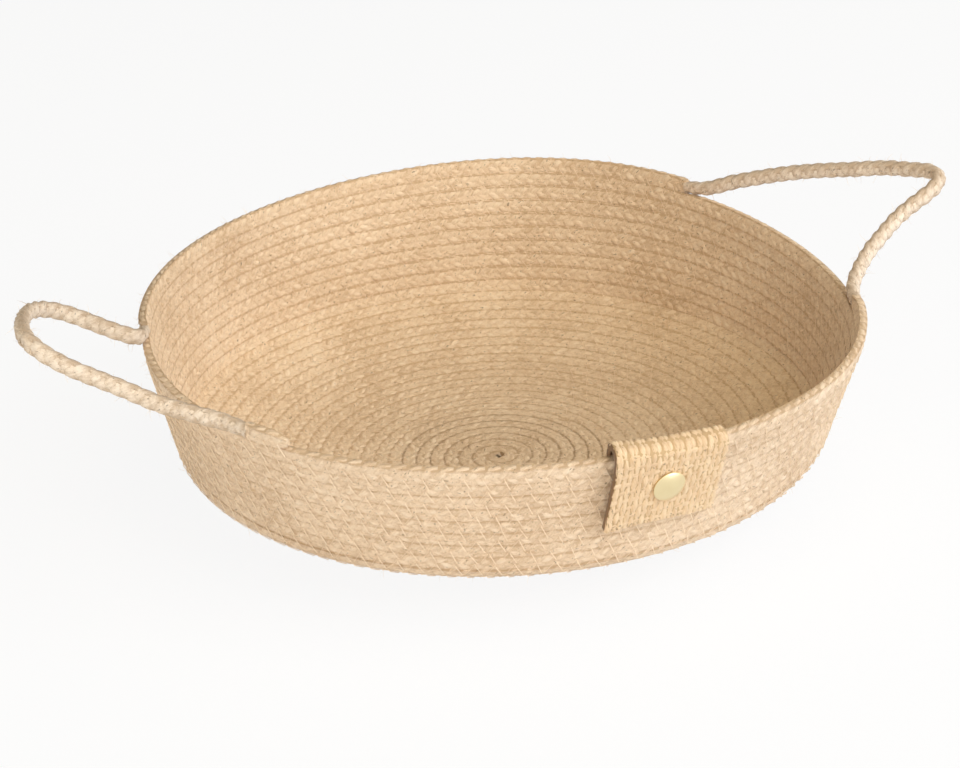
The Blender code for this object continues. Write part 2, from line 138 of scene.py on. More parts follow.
class NodeBook:
    """A node tree that is written in one way, for shaders and for Geometry Nodes."""

    def __init__(self, tree: bpy.types.NodeTree) -> None:
        """Keep the tree."""
        self.tree = tree

    def add(self, kind: str, inputs: Inputs | None = None, **settings: Any) -> bpy.types.Node:
        """Add a node.

        Args:
            kind: Blender's type name of the node.
            inputs: Values or wires by socket name or place.
            settings: The node's own properties, set first. Stops fills a colour ramp.

        Returns:
            The new node.
        """
        node = self.tree.nodes.new(kind)
        for name, value in settings.items():
            if name == "stops":
                self._set_stops(node.color_ramp, value)
            else:
                setattr(node, name, value)
        self.feed(node, inputs or {})
        return node

    @staticmethod
    def _set_stops(ramp: bpy.types.ColorRamp, stops: Sequence[tuple[float, Triple]]) -> None:
        """Fill a colour ramp.

        Args:
            ramp: The ramp.
            stops: A place and a colour for each stop.
        """
        while len(ramp.elements) < len(stops):
            ramp.elements.new(1.0)
        for element, (place, colour) in zip(ramp.elements, stops):
            element.position = place
            element.color = rgba(colour)

    def feed(self, node: bpy.types.Node, inputs: Inputs) -> None:
        """Set or link a node's inputs.

        Args:
            node: The node.
            inputs: Values or wires by socket name or place.
        """
        for name, value in inputs.items():
            if isinstance(name, int):
                socket = node.inputs[name]
            else:
                socket = next(s for s in node.inputs if s.enabled and s.name == name)
            if isinstance(value, Wire):
                self.tree.links.new(value.socket, socket)
            else:
                socket.default_value = value

    def out(self, node: bpy.types.Node, name: str | None = None) -> Wire:
        """Return a node's named output, or its first one in use."""
        found = [s for s in node.outputs if s.enabled and name in (None, s.name)]
        return Wire(self, found[0])

    def wire(
        self, kind: str, inputs: Inputs | None = None, output: str | None = None, **settings: Any
    ) -> Wire:
        """Add a node as `add` does and return its named output, or its first one in use."""
        return self.out(self.add(kind, inputs, **settings), output)

    def math(self, operation: str, *terms: Term) -> Wire:
        """Add a Math node on wires and numbers."""
        return self.wire("ShaderNodeMath", dict(enumerate(terms)), operation=operation)

    def vector(self, operation: str, *terms: Any) -> Wire:
        """Add a Vector Math node on wires and vectors."""
        return self.wire("ShaderNodeVectorMath", dict(enumerate(terms)), operation=operation)

    def scaled(self, vector: Wire, scale: Term) -> Wire:
        """Return a vector times a number."""
        return self.wire("ShaderNodeVectorMath", {"Vector": vector, "Scale": scale}, operation="SCALE")

    def combined(self, x: Term, y: Term, z: Term) -> Wire:
        """Return a vector from its three axes."""
        return self.wire("ShaderNodeCombineXYZ", {"X": x, "Y": y, "Z": z})

    def noise(
        self, vector: Wire, scale: float | Triple, detail: float = 2.0, roughness: float = 0.5
    ) -> Wire:
        """Return a noise of 0 to 1.

        Args:
            vector: Where it is read.
            scale: How fine it is, in every direction or along each axis.
            detail: How many finer layers it has.
            roughness: How strong those are.

        Returns:
            The noise's value.
        """
        if isinstance(scale, tuple):
            vector, scale = self.vector("MULTIPLY", vector, scale), 1.0
        inputs = {"Vector": vector, "Scale": scale, "Detail": detail, "Roughness": roughness}
        return self.wire("ShaderNodeTexNoise", inputs, noise_dimensions="3D")

    def mixed(self, factor: Term, first: Any, second: Any) -> Wire:
        """Return a mix of two colours."""
        return self.wire("ShaderNodeMix", {"Factor": factor, "A": first, "B": second}, data_type="RGBA")

    def attribute(self, name: str, output: str = "Fac") -> Wire:
        """Return an attribute of the surface, in a material."""
        return self.wire("ShaderNodeAttribute", output=output, attribute_name=name)

    def bump(self, height: Wire, strength: float, distance: float) -> Wire:
        """Return a surface's normal with a bump on it."""
        return self.wire("ShaderNodeBump", {"Strength": strength, "Distance": distance, "Height": height})

    def seen(self) -> Wire:
        """Return 1 for what shows, also in a mirror or through glass, and 0 for what only lights."""
        rays = self.add("ShaderNodeLightPath")
        camera, glossy, clear = (
            self.out(rays, f"Is {way} Ray") for way in ("Camera", "Glossy", "Transmission")
        )
        return self.math("MAXIMUM", camera, self.math("MAXIMUM", glossy, clear))


def rgba(colour: Sequence[float]) -> tuple[float, ...]:
    """Return a colour with full alpha."""
    return (*colour, 1.0)


class Finish:
    """A material: subclasses write its shader in `paint`."""

    name: str

    def build(self) -> bpy.types.Material:
        """Make the material.

        Returns:
            The material, with its nodes written.
        """
        material = bpy.data.materials.new(self.name)
        material.use_nodes = True
        book = NodeBook(material.node_tree)
        self.paint(book, material.node_tree.nodes["Principled BSDF"])
        return material

    def paint(self, book: NodeBook, shader: bpy.types.Node) -> None:
        """Write the nodes that feed the shader."""
        raise NotImplementedError


@dataclass(frozen=True)
class JuteFinish(Finish):
    """Natural jute: fine fibres along the strand, paler and browner stretches, dark specks.

    A grain is how fine a pattern is along the strand and across it. A contrast is how far a
    pattern moves the tone, which goes from brown at 0 to pale at 1. The depth and joint shades
    and the inner tint are painted shade: darker where a strand dives under another, on the core
    between the strands and on the tab's turned-in flap, in dashes along the grooves between
    courses, and warmer and darker on the basket's inner face.
    """

    name: str
    pale: Triple
    middle: Triple
    brown: Triple
    tone_stops: Triple = (0.12, 0.5, 0.86)
    fibre_grain: Triple = (170.0, 3400.0, 3400.0)
    fibre_contrast: float = 0.75
    streak_grain: Triple = (200.0, 1000.0, 1000.0)
    streak_contrast: float = 0.7
    stretch_grain: Triple = (42.0, 260.0, 260.0)
    stretch_contrast: float = 0.7
    patch_scale: float = 26.0
    patch_contrast: float = 0.5
    # painted shade: how much darker deep places are, where a strand dives under another, on the core and on
    # the tab's turned-in flap
    depth_contrast: float = 0.25
    # painted shade: dark dashes in the grooves between courses, stronger on the basket's inner face
    joint_contrast: float = 0.45
    outer_joint_contrast: float = 0.5
    joint_start: float = 0.7
    dash: float = 16.0 * MM / 3
    dash_grain: Triple = (260.0, 0.0, 0.0)
    dash_pulse: float = 0.6
    dash_chance: float = 2.2
    dash_base: float = 0.2
    # painted shade: a warmer, slightly darker tint on the basket's inner face, where its inside lies in
    # shade
    inner_tint: Triple = (1.0, 0.985, 0.93)
    speck_grain: Triple = (620.0, 1100.0, 1100.0)
    speck_share: float = 0.665
    speck_edge: float = 14.0
    speck_strength: float = 0.7
    speck_shade: float = 0.42
    bump: float = 0.5
    bump_height: float = 0.4 * MM

    def paint(self, book: NodeBook, shader: bpy.types.Node) -> None:
        """Write the nodes that feed the shader.

        Args:
            book: The material's tree.
            shader: Its main shader.
        """
        grain, inner = book.attribute("grain", "Vector"), book.attribute("inner")
        fine = book.noise(grain, self.fibre_grain, 3.0, 0.65)
        streak = book.noise(grain, self.streak_grain)
        stretch = book.noise(grain, self.stretch_grain)
        patch = book.noise(book.wire("ShaderNodeTexCoord", output="Object"), self.patch_scale)
        tone = (fine - 0.5) * self.fibre_contrast + (streak - 0.5) * self.streak_contrast
        tone = tone + (stretch - 0.5) * self.stretch_contrast + (patch - 0.5) * self.patch_contrast + 0.5
        # painted shade: dark dashes along the grooves between courses, stronger on the inner face
        joint = self.joint(book, grain) * (inner * self.joint_contrast + self.outer_joint_contrast)
        # painted shade: deep places are darkened, and the dark joint dashes are taken off the tone
        tone = tone - book.attribute("depth") * self.depth_contrast - joint
        stops = tuple(zip(self.tone_stops, (self.brown, self.middle, self.pale)))
        plain = book.wire("ShaderNodeValToRGB", {"Fac": tone.clamped()}, "Color", stops=stops)
        # painted shade: the inner face takes the warmer, darker tint
        colour = book.mixed(inner, plain, book.vector("MULTIPLY", plain, self.inner_tint))
        speck = book.noise(grain, self.speck_grain, 1.0)
        speck = ((speck - self.speck_share) * self.speck_edge).clamped() * self.speck_strength
        dark = rgba([channel * self.speck_shade for channel in self.brown])
        book.feed(shader, {
            "Base Color": book.mixed(speck, colour, dark),
            "Roughness": 0.78 + fine * 0.16,
            "Normal": book.bump(fine, self.bump, self.bump_height),
            "Sheen Weight": 0.12,
            "Sheen Roughness": 0.6,
            "Specular IOR Level": 0.25,
        })

    def joint(self, book: NodeBook, grain: Wire) -> Wire:
        """Find how far a place lies in the joint between two courses, in dashes along it, for a painted
        shade in the groove there.

        Args:
            book: The material's tree.
            grain: The way along the strand and the place across it.

        Returns:
            1 in the middle of a dash and 0 outside the joint.
        """
        edge = book.math("ABSOLUTE", book.attribute("edge"))
        near = ((edge - self.joint_start) / (1.0 - self.joint_start)).clamped()
        pulse = book.math("SINE", grain.axis("X") * (math.tau / self.dash)) * 0.5 + 0.5
        chance = (book.noise(grain, self.dash_grain, 1.0) - 0.5) * self.dash_chance
        return near * (pulse * self.dash_pulse + chance + self.dash_base).clamped()


@dataclass(frozen=True)
class BrassFinish(Finish):
    """Pale polished brass with faint handling marks."""

    name: str = "pale_brass"
    colour: Triple = (0.86, 0.73, 0.44)
    dull: Triple = (0.74, 0.58, 0.32)
    dull_share: float = 0.5
    patch_scale: float = 240.0
    mark_scale: float = 900.0
    mark_strength: float = 0.12
    mark_height: float = 0.1 * MM

    def paint(self, book: NodeBook, shader: bpy.types.Node) -> None:
        """Write the nodes that feed the shader.

        Args:
            book: The material's tree.
            shader: Its main shader.
        """
        place = book.wire("ShaderNodeTexCoord", output="Object")
        marks = book.noise(place, self.mark_scale, 4.0, 0.7)
        dullness = book.noise(place, self.patch_scale) * self.dull_share
        book.feed(shader, {
            "Base Color": book.mixed(dullness, rgba(self.colour), rgba(self.dull)),
            "Roughness": 0.26 + marks * 0.16,
            "Metallic": 1.0,
            "Normal": book.bump(marks, self.mark_strength, self.mark_height),
        })


@dataclass(frozen=True)
class FloorFinish(Finish):
    """A white studio floor that keeps the object's shadow."""

    name: str = "studio_floor"
    grey: Triple = (0.86, 0.86, 0.86)
    whiteness: float = 0.9

    def paint(self, book: NodeBook, shader: bpy.types.Node) -> None:
        """Write the nodes that feed the shader.

        Args:
            book: The material's tree.
            shader: Its main shader.
        """
        book.feed(shader, {"Base Color": rgba(self.grey), "Roughness": 0.9})
        white = book.wire("ShaderNodeEmission", {"Color": WHITE, "Strength": 1.0})
        inputs = {0: book.seen() * self.whiteness, 1: book.out(shader), 2: white}
        surface = book.wire("ShaderNodeMixShader", inputs)
        book.feed(book.tree.nodes["Material Output"], {"Surface": surface})


class Slot(Enum):
    """The record's material slots."""

    ROPE = "jute_rope"
    WEBBING = "jute_webbing"
    BRASS = "brass"


class Body(Enum):
    """The bodies of the frame."""

    BASKET = "basket"
    RIGHT = "right_loop"
    LEFT = "left_loop"


def linked(name: str, data: bpy.types.ID) -> bpy.types.Object:
    """Put a mesh, light or camera into the scene and return its object."""
    item = bpy.data.objects.new(name, data)
    bpy.context.scene.collection.objects.link(item)
    return item


def smooth_piece(name: str, cells: bmesh.types.BMesh, material: bpy.types.Material) -> bpy.types.Object:
    """Turn cells into a smooth piece and free them.

    Args:
        name: The piece's name.
        cells: Its faces.
        material: Its one material.

    Returns:
        The piece.
    """
    mesh = bpy.data.meshes.new(name)
    cells.to_mesh(mesh)
    cells.free()
    mesh.materials.append(material)
    mesh.shade_smooth()
    return linked(name, mesh)


def unit(vectors: np.ndarray) -> np.ndarray:
    """Return vectors with length 1."""
    return vectors / np.maximum(np.linalg.norm(vectors, axis=-1, keepdims=True), 1e-12)


def dots(first: np.ndarray, second: np.ndarray) -> np.ndarray:
    """Return the dot product of each row of one table with its row of another."""
    return np.einsum("ij,ij->i", first, second)


def travelled(points: np.ndarray) -> np.ndarray:
    """Return how far along a line each of its points lies."""
    steps = np.linalg.norm(np.diff(points, axis=0), axis=1)
    return np.concatenate(([0.0], np.cumsum(steps)))


def sampled(places: np.ndarray, along: np.ndarray, table: np.ndarray) -> np.ndarray:
    """Return a table's rows at places between those that it gives along a line."""
    return np.stack([np.interp(places, along, column) for column in table.T], 1)


def smoothed(values: np.ndarray, reach: int) -> np.ndarray:
    """Average rows with their neighbours.

    Args:
        values: The rows.
        reach: How many neighbours count on each side.

    Returns:
        As many rows, with the two ends kept in line.
    """
    padded = np.concatenate((np.repeat(values[:1], reach, 0), values, np.repeat(values[-1:], reach, 0)))
    window = np.hanning(2 * reach + 3)[1:-1]
    window /= window.sum()
    return np.stack([np.convolve(column, window, "valid") for column in padded.T], axis=1)


def smooth_line(points: np.ndarray, steps: int) -> np.ndarray:
    """Draw a smooth curve through points.

    Args:
        points: The points.
        steps: How many steps the curve makes from each to the next.

    Returns:
        The curve's points.
    """
    ends = np.concatenate(([2 * points[0] - points[1]], points, [2 * points[-1] - points[-2]]))
    t = (np.arange(steps) / steps)[:, None]
    rows = []
    for before, start, end, after in zip(ends, ends[1:], ends[2:], ends[3:]):
        first = (end - before) * t
        second = (2 * before - 5 * start + 4 * end - after) * t ** 2
        third = (3 * start - before - 3 * end + after) * t ** 3
        rows.append(start + (first + second + third) / 2)
    return np.concatenate(rows + [points[-1:]])


@dataclass
class Route:
    """The points that a rope, yarn or thread follows.

    Side and out are the two directions across it, along is the way travelled in metres.
    Swell is its thickness as a share, swing and lift are shares of the tree's own sizes.
    """

    points: np.ndarray
    side: np.ndarray
    out: np.ndarray
    along: np.ndarray
    swell: np.ndarray
    swing: np.ndarray
    lift: np.ndarray

    @classmethod
    def over(
        cls, points: np.ndarray, side: np.ndarray, out: np.ndarray, start: float = 0.0,
        swell: Any = 1.0, swing: Any = 0.0, lift: Any = 0.0,
    ) -> Route:
        """Make a route from points.

        Args:
            points: The points.
            side: The direction to the side at each.
            out: The direction outwards at each.
            start: The way travelled before the first point.
            swell: Its thickness, for all points or each.
            swing: Its sway to the side, for all points or each.
            lift: Its way outwards, for all points or each.

        Returns:
            The route.
        """
        ones = np.ones(len(points))
        return cls(points, side, out, start + travelled(points), ones * swell, ones * swing, ones * lift)

    def part(self, first: int, last: int) -> Route:
        """Return the stretch between two points, both included."""
        cut = slice(first, last + 1)
        return Route(*(getattr(self, name)[cut] for name in self.__dataclass_fields__))


def route_object(name: str, routes: Sequence[Route]) -> bpy.types.Object:
    """Make a mesh of loose lines that carries the routes' directions and shares.

    Args:
        name: The object's name.
        routes: The lines.

    Returns:
        The object, in the scene.
    """
    points = np.concatenate([route.points for route in routes])
    edges, start = [], 0
    for route in routes:
        count = len(route.points)
        edges += [(start + index, start + index + 1) for index in range(count - 1)]
        start += count
    mesh = bpy.data.meshes.new(name)
    mesh.from_pydata(points.tolist(), edges, [])
    for label in ("side", "out", "along", "swell", "swing", "lift"):
        values = np.concatenate([getattr(route, label) for route in routes]).astype(np.float32)
        kind, entry = (VECTOR, "vector") if values.ndim > 1 else ("FLOAT", "value")
        mesh.attributes.new(label, kind, "POINT").data.foreach_set(entry, values.ravel())
    return linked(name, mesh)


class RouteTree:
    """Geometry Nodes that lay something along routes. Subclasses write the tree in `write`."""

    GRAIN_TWIST = 420.0
    GRAIN_SHIFT = 3.7
    SHARP_ANGLE = math.radians(75)

    def __init__(self, title: str) -> None:
        """Build the tree with its named inputs.

        Args:
            title: The tree's name.
        """
        self.title = title
        self.tree = bpy.data.node_groups.new(title, "GeometryNodeTree")
        self.book = NodeBook(self.tree)
        self.identifiers: dict[str, str] = {}
        for way in ("INPUT", "OUTPUT"):
            self.tree.interface.new_socket("Geometry", in_out=way, socket_type="NodeSocketGeometry")
        self.entry = self.book.add("NodeGroupInput")
        routes = self.book.wire("GeometryNodeMeshToCurve", {"Mesh": self.book.out(self.entry)})
        self.book.add("NodeGroupOutput", {"Geometry": self.write(routes)})

    def write(self, curve: Wire) -> Wire:
        """Write the nodes from the routes' curves to the finished geometry."""
        raise NotImplementedError

    def named(self, name: str, default: Any = None, kind: str = "NodeSocketFloat") -> Wire:
        """Add a named input to the tree.

        Args:
            name: Its name.
            default: Its value where a piece sets none.
            kind: Blender's type name of the socket.

        Returns:
            The input's wire.
        """
        item = self.tree.interface.new_socket(name, in_out="INPUT", socket_type=kind)
        if default is not None:
            item.default_value = default
        self.identifiers[name] = item.identifier
        return Wire(self.book, self.entry.outputs[name])

    def stored(self, name: str, kind: str = "FLOAT") -> Wire:
        """Return a named attribute of the geometry."""
        inputs = {"Name": name}
        return self.book.wire("GeometryNodeInputNamedAttribute", inputs, "Attribute", data_type=kind)

    def marked(self, shape: Wire, name: str, value: Any, kind: str = "FLOAT") -> Wire:
        """Store a number or vector on a shape, for its material or for nodes after it."""
        inputs = {"Geometry": shape, "Name": name, "Value": value}
        return self.book.wire("GeometryNodeStoreNamedAttribute", inputs, data_type=kind, domain="POINT")

    def joined(self, *parts: Wire) -> Wire:
        """Join geometries, in the order given."""
        node = self.book.add("GeometryNodeJoinGeometry")
        for part in parts:
            self.book.feed(node, {0: part})
        return self.book.out(node)

    def coated(self, shape: Wire, material: Wire, where: Term = True) -> Wire:
        """Set a material, on the whole of a shape or on a part of it."""
        inputs = {"Geometry": shape, "Selection": where, "Material": material}
        return self.book.wire("GeometryNodeSetMaterial", inputs)

    def circle(self, sides: int, radius: float) -> Wire:
        """Return a round profile."""
        inputs = {"Resolution": sides, "Radius": radius}
        return self.book.wire("GeometryNodeCurvePrimitiveCircle", inputs, mode="RADIUS")

    def oval(self, sides: int, width: Wire, thickness: Wire) -> Wire:
        """Return an oval profile that knows its own ring for the grain."""
        inputs = {"Geometry": self.circle(sides, 0.5), "Scale": self.book.combined(thickness, width, 1.0)}
        return self.ringed(self.book.wire("GeometryNodeTransform", inputs))

    def band(self, width: Wire, thickness: Wire) -> Wire:
        """Return a flat profile that knows its own ring for the grain."""
        inputs = {"Width": thickness, "Height": width}
        return self.ringed(
            self.book.wire("GeometryNodeCurvePrimitiveQuadrilateral", inputs, mode="RECTANGLE")
        )

    def ringed(self, profile: Wire) -> Wire:
        """Store a profile's own places on it."""
        place = self.book.wire("GeometryNodeInputPosition")
        ring = self.book.combined(0.0, place.axis("X"), place.axis("Y"))
        return self.marked(profile, "ring", ring, VECTOR)

    def swept(self, curve: Wire, profile: Wire, scale: Wire) -> Wire:
        """Sweep a profile along a curve, and close the ends."""
        inputs = {"Curve": curve, "Profile Curve": profile, "Scale": scale, "Fill Caps": True}
        return self.book.wire("GeometryNodeCurveToMesh", inputs)

    def tube(self, curve: Wire, profile: Wire, number: float) -> Wire:
        """Sweep a profile along a route and store the grain that its material reads.

        Args:
            curve: The route's curve.
            profile: What is swept, with its ring.
            number: The strand's number, so that each has its own pattern.

        Returns:
            The tube.
        """
        along = self.stored("along")
        inputs = {"Curve": curve, "Normal": self.stored("out", VECTOR)}
        curve = self.book.wire("GeometryNodeSetCurveNormal", inputs, mode="FREE")
        tube = self.swept(curve, profile, self.stored("swell"))
        inputs = {"Vector": self.stored("ring", VECTOR), "Angle": along * self.GRAIN_TWIST}
        twist = self.book.wire("ShaderNodeVectorRotate", inputs, rotation_type="X_AXIS")
        along = along + number * self.GRAIN_SHIFT
        return self.marked(
            tube, "grain", self.book.combined(along, twist.axis("Y"), twist.axis("Z")), VECTOR
        )

    def shifted(self, curve: Wire, swing: Wire, rise: Wire) -> Wire:
        """Move a route's points to its side and out of it."""
        sideways = self.book.scaled(self.stored("side", VECTOR), swing)
        outwards = self.book.scaled(self.stored("out", VECTOR), rise)
        offset = self.book.vector("ADD", sideways, outwards)
        return self.book.wire("GeometryNodeSetPosition", {"Geometry": curve, "Offset": offset})

    def lay(self, name: str, routes: Sequence[Route], **values: Any) -> bpy.types.Object:
        """Lay the tree along routes and keep the result as a plain mesh.

        Args:
            name: The new piece's name.
            routes: The lines to follow.
            values: The tree's inputs, with _ for a space in their names.

        Returns:
            The piece, at the origin.
        """
        source = route_object(name + "_route", routes)
        modifier = source.modifiers.new(self.title, "NODES")
        modifier.node_group = self.tree
        for label, value in values.items():
            modifier[self.identifiers[label.replace("_", " ")]] = value
        source.update_tag()
        graph = bpy.context.evaluated_depsgraph_get()
        mesh = bpy.data.meshes.new_from_object(source.evaluated_get(graph))
        mesh.name = name
        bpy.data.objects.remove(source, do_unlink=True)
        mesh.shade_smooth()
        mesh.set_sharp_from_angle(angle=self.SHARP_ANGLE)
        return linked(name, mesh)


class PlaitTree(RouteTree):
    """Three strands that cross in turn along a route, with loose fibres standing off them."""

    SIZES = {
        "Strand swing": 1.6 * MM, "Strand rise": 0.38 * MM, "Plait length": 16.0 * MM,
        "Wander": 0.42 * MM, "Strand width": 3.9 * MM, "Strand thickness": 2.8 * MM,
        "Core width": 5.8 * MM, "Core thickness": 2.6 * MM,
        "Fibres per area": 9000.0, "Fibre length": 4.0 * MM,
    }
    STRANDS = 3
    SIDES = 6
    # painted shade: the core counts as this deep, so its material paints it a little darker than the
    # strands
    CORE_DEPTH = 0.4
    WANDER_SCALE = 70.0
    WANDER_SHIFT = 13.7
    TABLE_CLEARANCE = 4.8 * MM
    OPEN_SIDE = 0.35
    FIBRE_BOW = {"Start": (0, 0, -0.05), "Middle": (0.1, 0, 0.55), "End": (0.55, 0.1, 0.8)}
    FIBRE_STEPS = 4
    FIBRE_RADIUS = 0.016
    FIBRE_TAPER = 0.8
    FIBRE_LENGTHS = (0.35, 1.5)
    FIBRE_TURN = Vector((1.1, 1.1, 3.1))

    def write(self, curve: Wire) -> Wire:
        """Write the nodes from the routes' curves to the finished geometry.

        Args:
            curve: The routes' curves.

        Returns:
            The rope with its fibres.
        """
        size = {name: self.named(name, default) for name, default in self.SIZES.items()}
        seed = self.named("Seed", 3, "NodeSocketInt")
        rope_material = self.named("Rope material", None, "NodeSocketMaterial")
        fibre_material = self.named("Fibre material", None, "NodeSocketMaterial")
        strands = [self.strand(curve, number, size) for number in range(self.STRANDS)]
        rope = self.joined(*strands, self.core(curve, size))
        both = self.joined(self.fibres(rope, size, seed), rope)
        real = self.book.wire("GeometryNodeRealizeInstances", {"Geometry": both})
        plain = self.coated(real, rope_material)
        return self.coated(plain, fibre_material, self.stored("loose") > 0.5)

    def core(self, curve: Wire, size: dict[str, Wire]) -> Wire:
        """Make the flat core that closes the gaps between the strands.

        Args:
            curve: The routes' curves.
            size: The tree's sizes.

        Returns:
            The core, which knows how near its edge, deep and far inwards each place is.
        """
        width, thickness = size["Core width"], size["Core thickness"]
        core = self.tube(curve, self.band(width, thickness), self.STRANDS)
        ring = self.stored("ring", VECTOR)
        core = self.marked(core, "edge", ring.axis("Z") / width * 2.0)
        # painted shade: the core is marked deep so that its material darkens it
        core = self.marked(core, "depth", self.CORE_DEPTH)
        return self.marked(core, "inner", (0.5 - ring.axis("Y") / thickness).clamped())

    def strand(self, curve: Wire, number: int, size: dict[str, Wire]) -> Wire:
        """Make one strand of the plait.

        Args:
            curve: The routes' curves.
            number: Which strand it is.
            size: The tree's sizes.

        Returns:
            The strand, which knows how deep and far inwards each place is.
        """
        along, swell = self.stored("along"), self.stored("swell")
        phase = along / size["Plait length"] * math.tau + math.tau * number / self.STRANDS
        crossing = self.book.math("SINE", phase * 2.0)
        place = along * self.WANDER_SCALE + self.WANDER_SHIFT * number
        inputs = {"W": place, "Scale": 1.0, "Detail": 1.0}
        wander = self.book.wire("ShaderNodeTexNoise", inputs, noise_dimensions="1D")
        swing = self.book.math("SINE", phase) * size["Strand swing"] * swell
        rise = crossing * size["Strand rise"] * swell + (wander - 0.5) * 2.0 * size["Wander"]
        width, thickness = size["Strand width"], size["Strand thickness"]
        profile = self.oval(self.SIDES, width, thickness)
        tube = self.tube(self.shifted(curve, swing, rise), profile, number)
        outwards = self.stored("ring", VECTOR).axis("Y")
        tube = self.marked(tube, "inner", (0.5 - outwards / thickness).clamped())
        # painted shade: marked deep where the strand dives under its neighbour, so that its material
        # darkens it there
        return self.marked(tube, "depth", (0.5 - crossing * outwards / thickness).clamped())

    def fibres(self, rope: Wire, size: dict[str, Wire], seed: Wire) -> Wire:
        """Scatter loose fibres over the rope's open sides, clear of the table.

        Args:
            rope: The rope's mesh.
            size: The tree's sizes.
            seed: The seed of every chance.

        Returns:
            The fibres.
        """
        book = self.book
        normal = book.wire("GeometryNodeInputNormal")
        facing = book.math("ABSOLUTE", book.vector("DOT_PRODUCT", normal, self.stored("out", VECTOR)))
        clear = book.wire("GeometryNodeInputPosition").axis("Z") > self.TABLE_CLEARANCE
        density = size["Fibres per area"] * clear
        spots = book.add(
            "GeometryNodeDistributePointsOnFaces",
            {"Mesh": rope, "Selection": facing > self.OPEN_SIDE, "Density": density, "Seed": seed},
            distribute_method="RANDOM",
        )
        inputs = {"Resolution": self.FIBRE_STEPS, **self.FIBRE_BOW}
        arc = book.wire("GeometryNodeCurveQuadraticBezier", inputs)
        factor = book.wire("GeometryNodeSplineParameter", output="Factor")
        hair = self.swept(arc, self.circle(3, self.FIBRE_RADIUS), 1.0 - factor * self.FIBRE_TAPER)
        low, high = (size["Fibre length"] * share for share in self.FIBRE_LENGTHS)
        inputs = {"Min": low, "Max": high, "Seed": seed}
        length = book.wire("FunctionNodeRandomValue", inputs, data_type="FLOAT")
        placed = book.wire(
            "GeometryNodeInstanceOnPoints",
            {"Points": book.out(spots, "Points"), "Instance": self.marked(hair, "loose", 1.0),
             "Rotation": book.out(spots, "Rotation"), "Scale": length},
        )
        inputs = {"Min": -self.FIBRE_TURN, "Max": self.FIBRE_TURN, "Seed": seed}
        turn = book.wire("FunctionNodeRandomValue", inputs, data_type=VECTOR)
        inputs = {"Instances": placed, "Rotation": turn, "Local Space": True}
        turned = book.wire("GeometryNodeRotateInstances", inputs)
        return book.wire("GeometryNodeRealizeInstances", {"Geometry": turned})


class YarnTree(RouteTree):
    """One yarn or thread along each route, which swings and lifts as the route says."""

    def __init__(self, sides: int) -> None:
        """Build the tree for a yarn with a number of sides."""
        self.sides = sides
        super().__init__(f"yarn_of_{sides}_sides")

    def write(self, curve: Wire) -> Wire:
        """Write the nodes from the routes' curves to the finished geometry.

        Args:
            curve: The routes' curves.

        Returns:
            The yarns.
        """
        names = ("Swing", "Rise", "Yarn width", "Yarn thickness")
        swing, rise, width, thickness = (self.named(name, 0.0) for name in names)
        material = self.named("Material", None, "NodeSocketMaterial")
        curve = self.shifted(curve, self.stored("swing") * swing, self.stored("lift") * rise)
        yarn = self.tube(curve, self.oval(self.sides, width, thickness), 0.0)
        return self.coated(self.book.wire("GeometryNodeRealizeInstances", {"Geometry": yarn}), material)


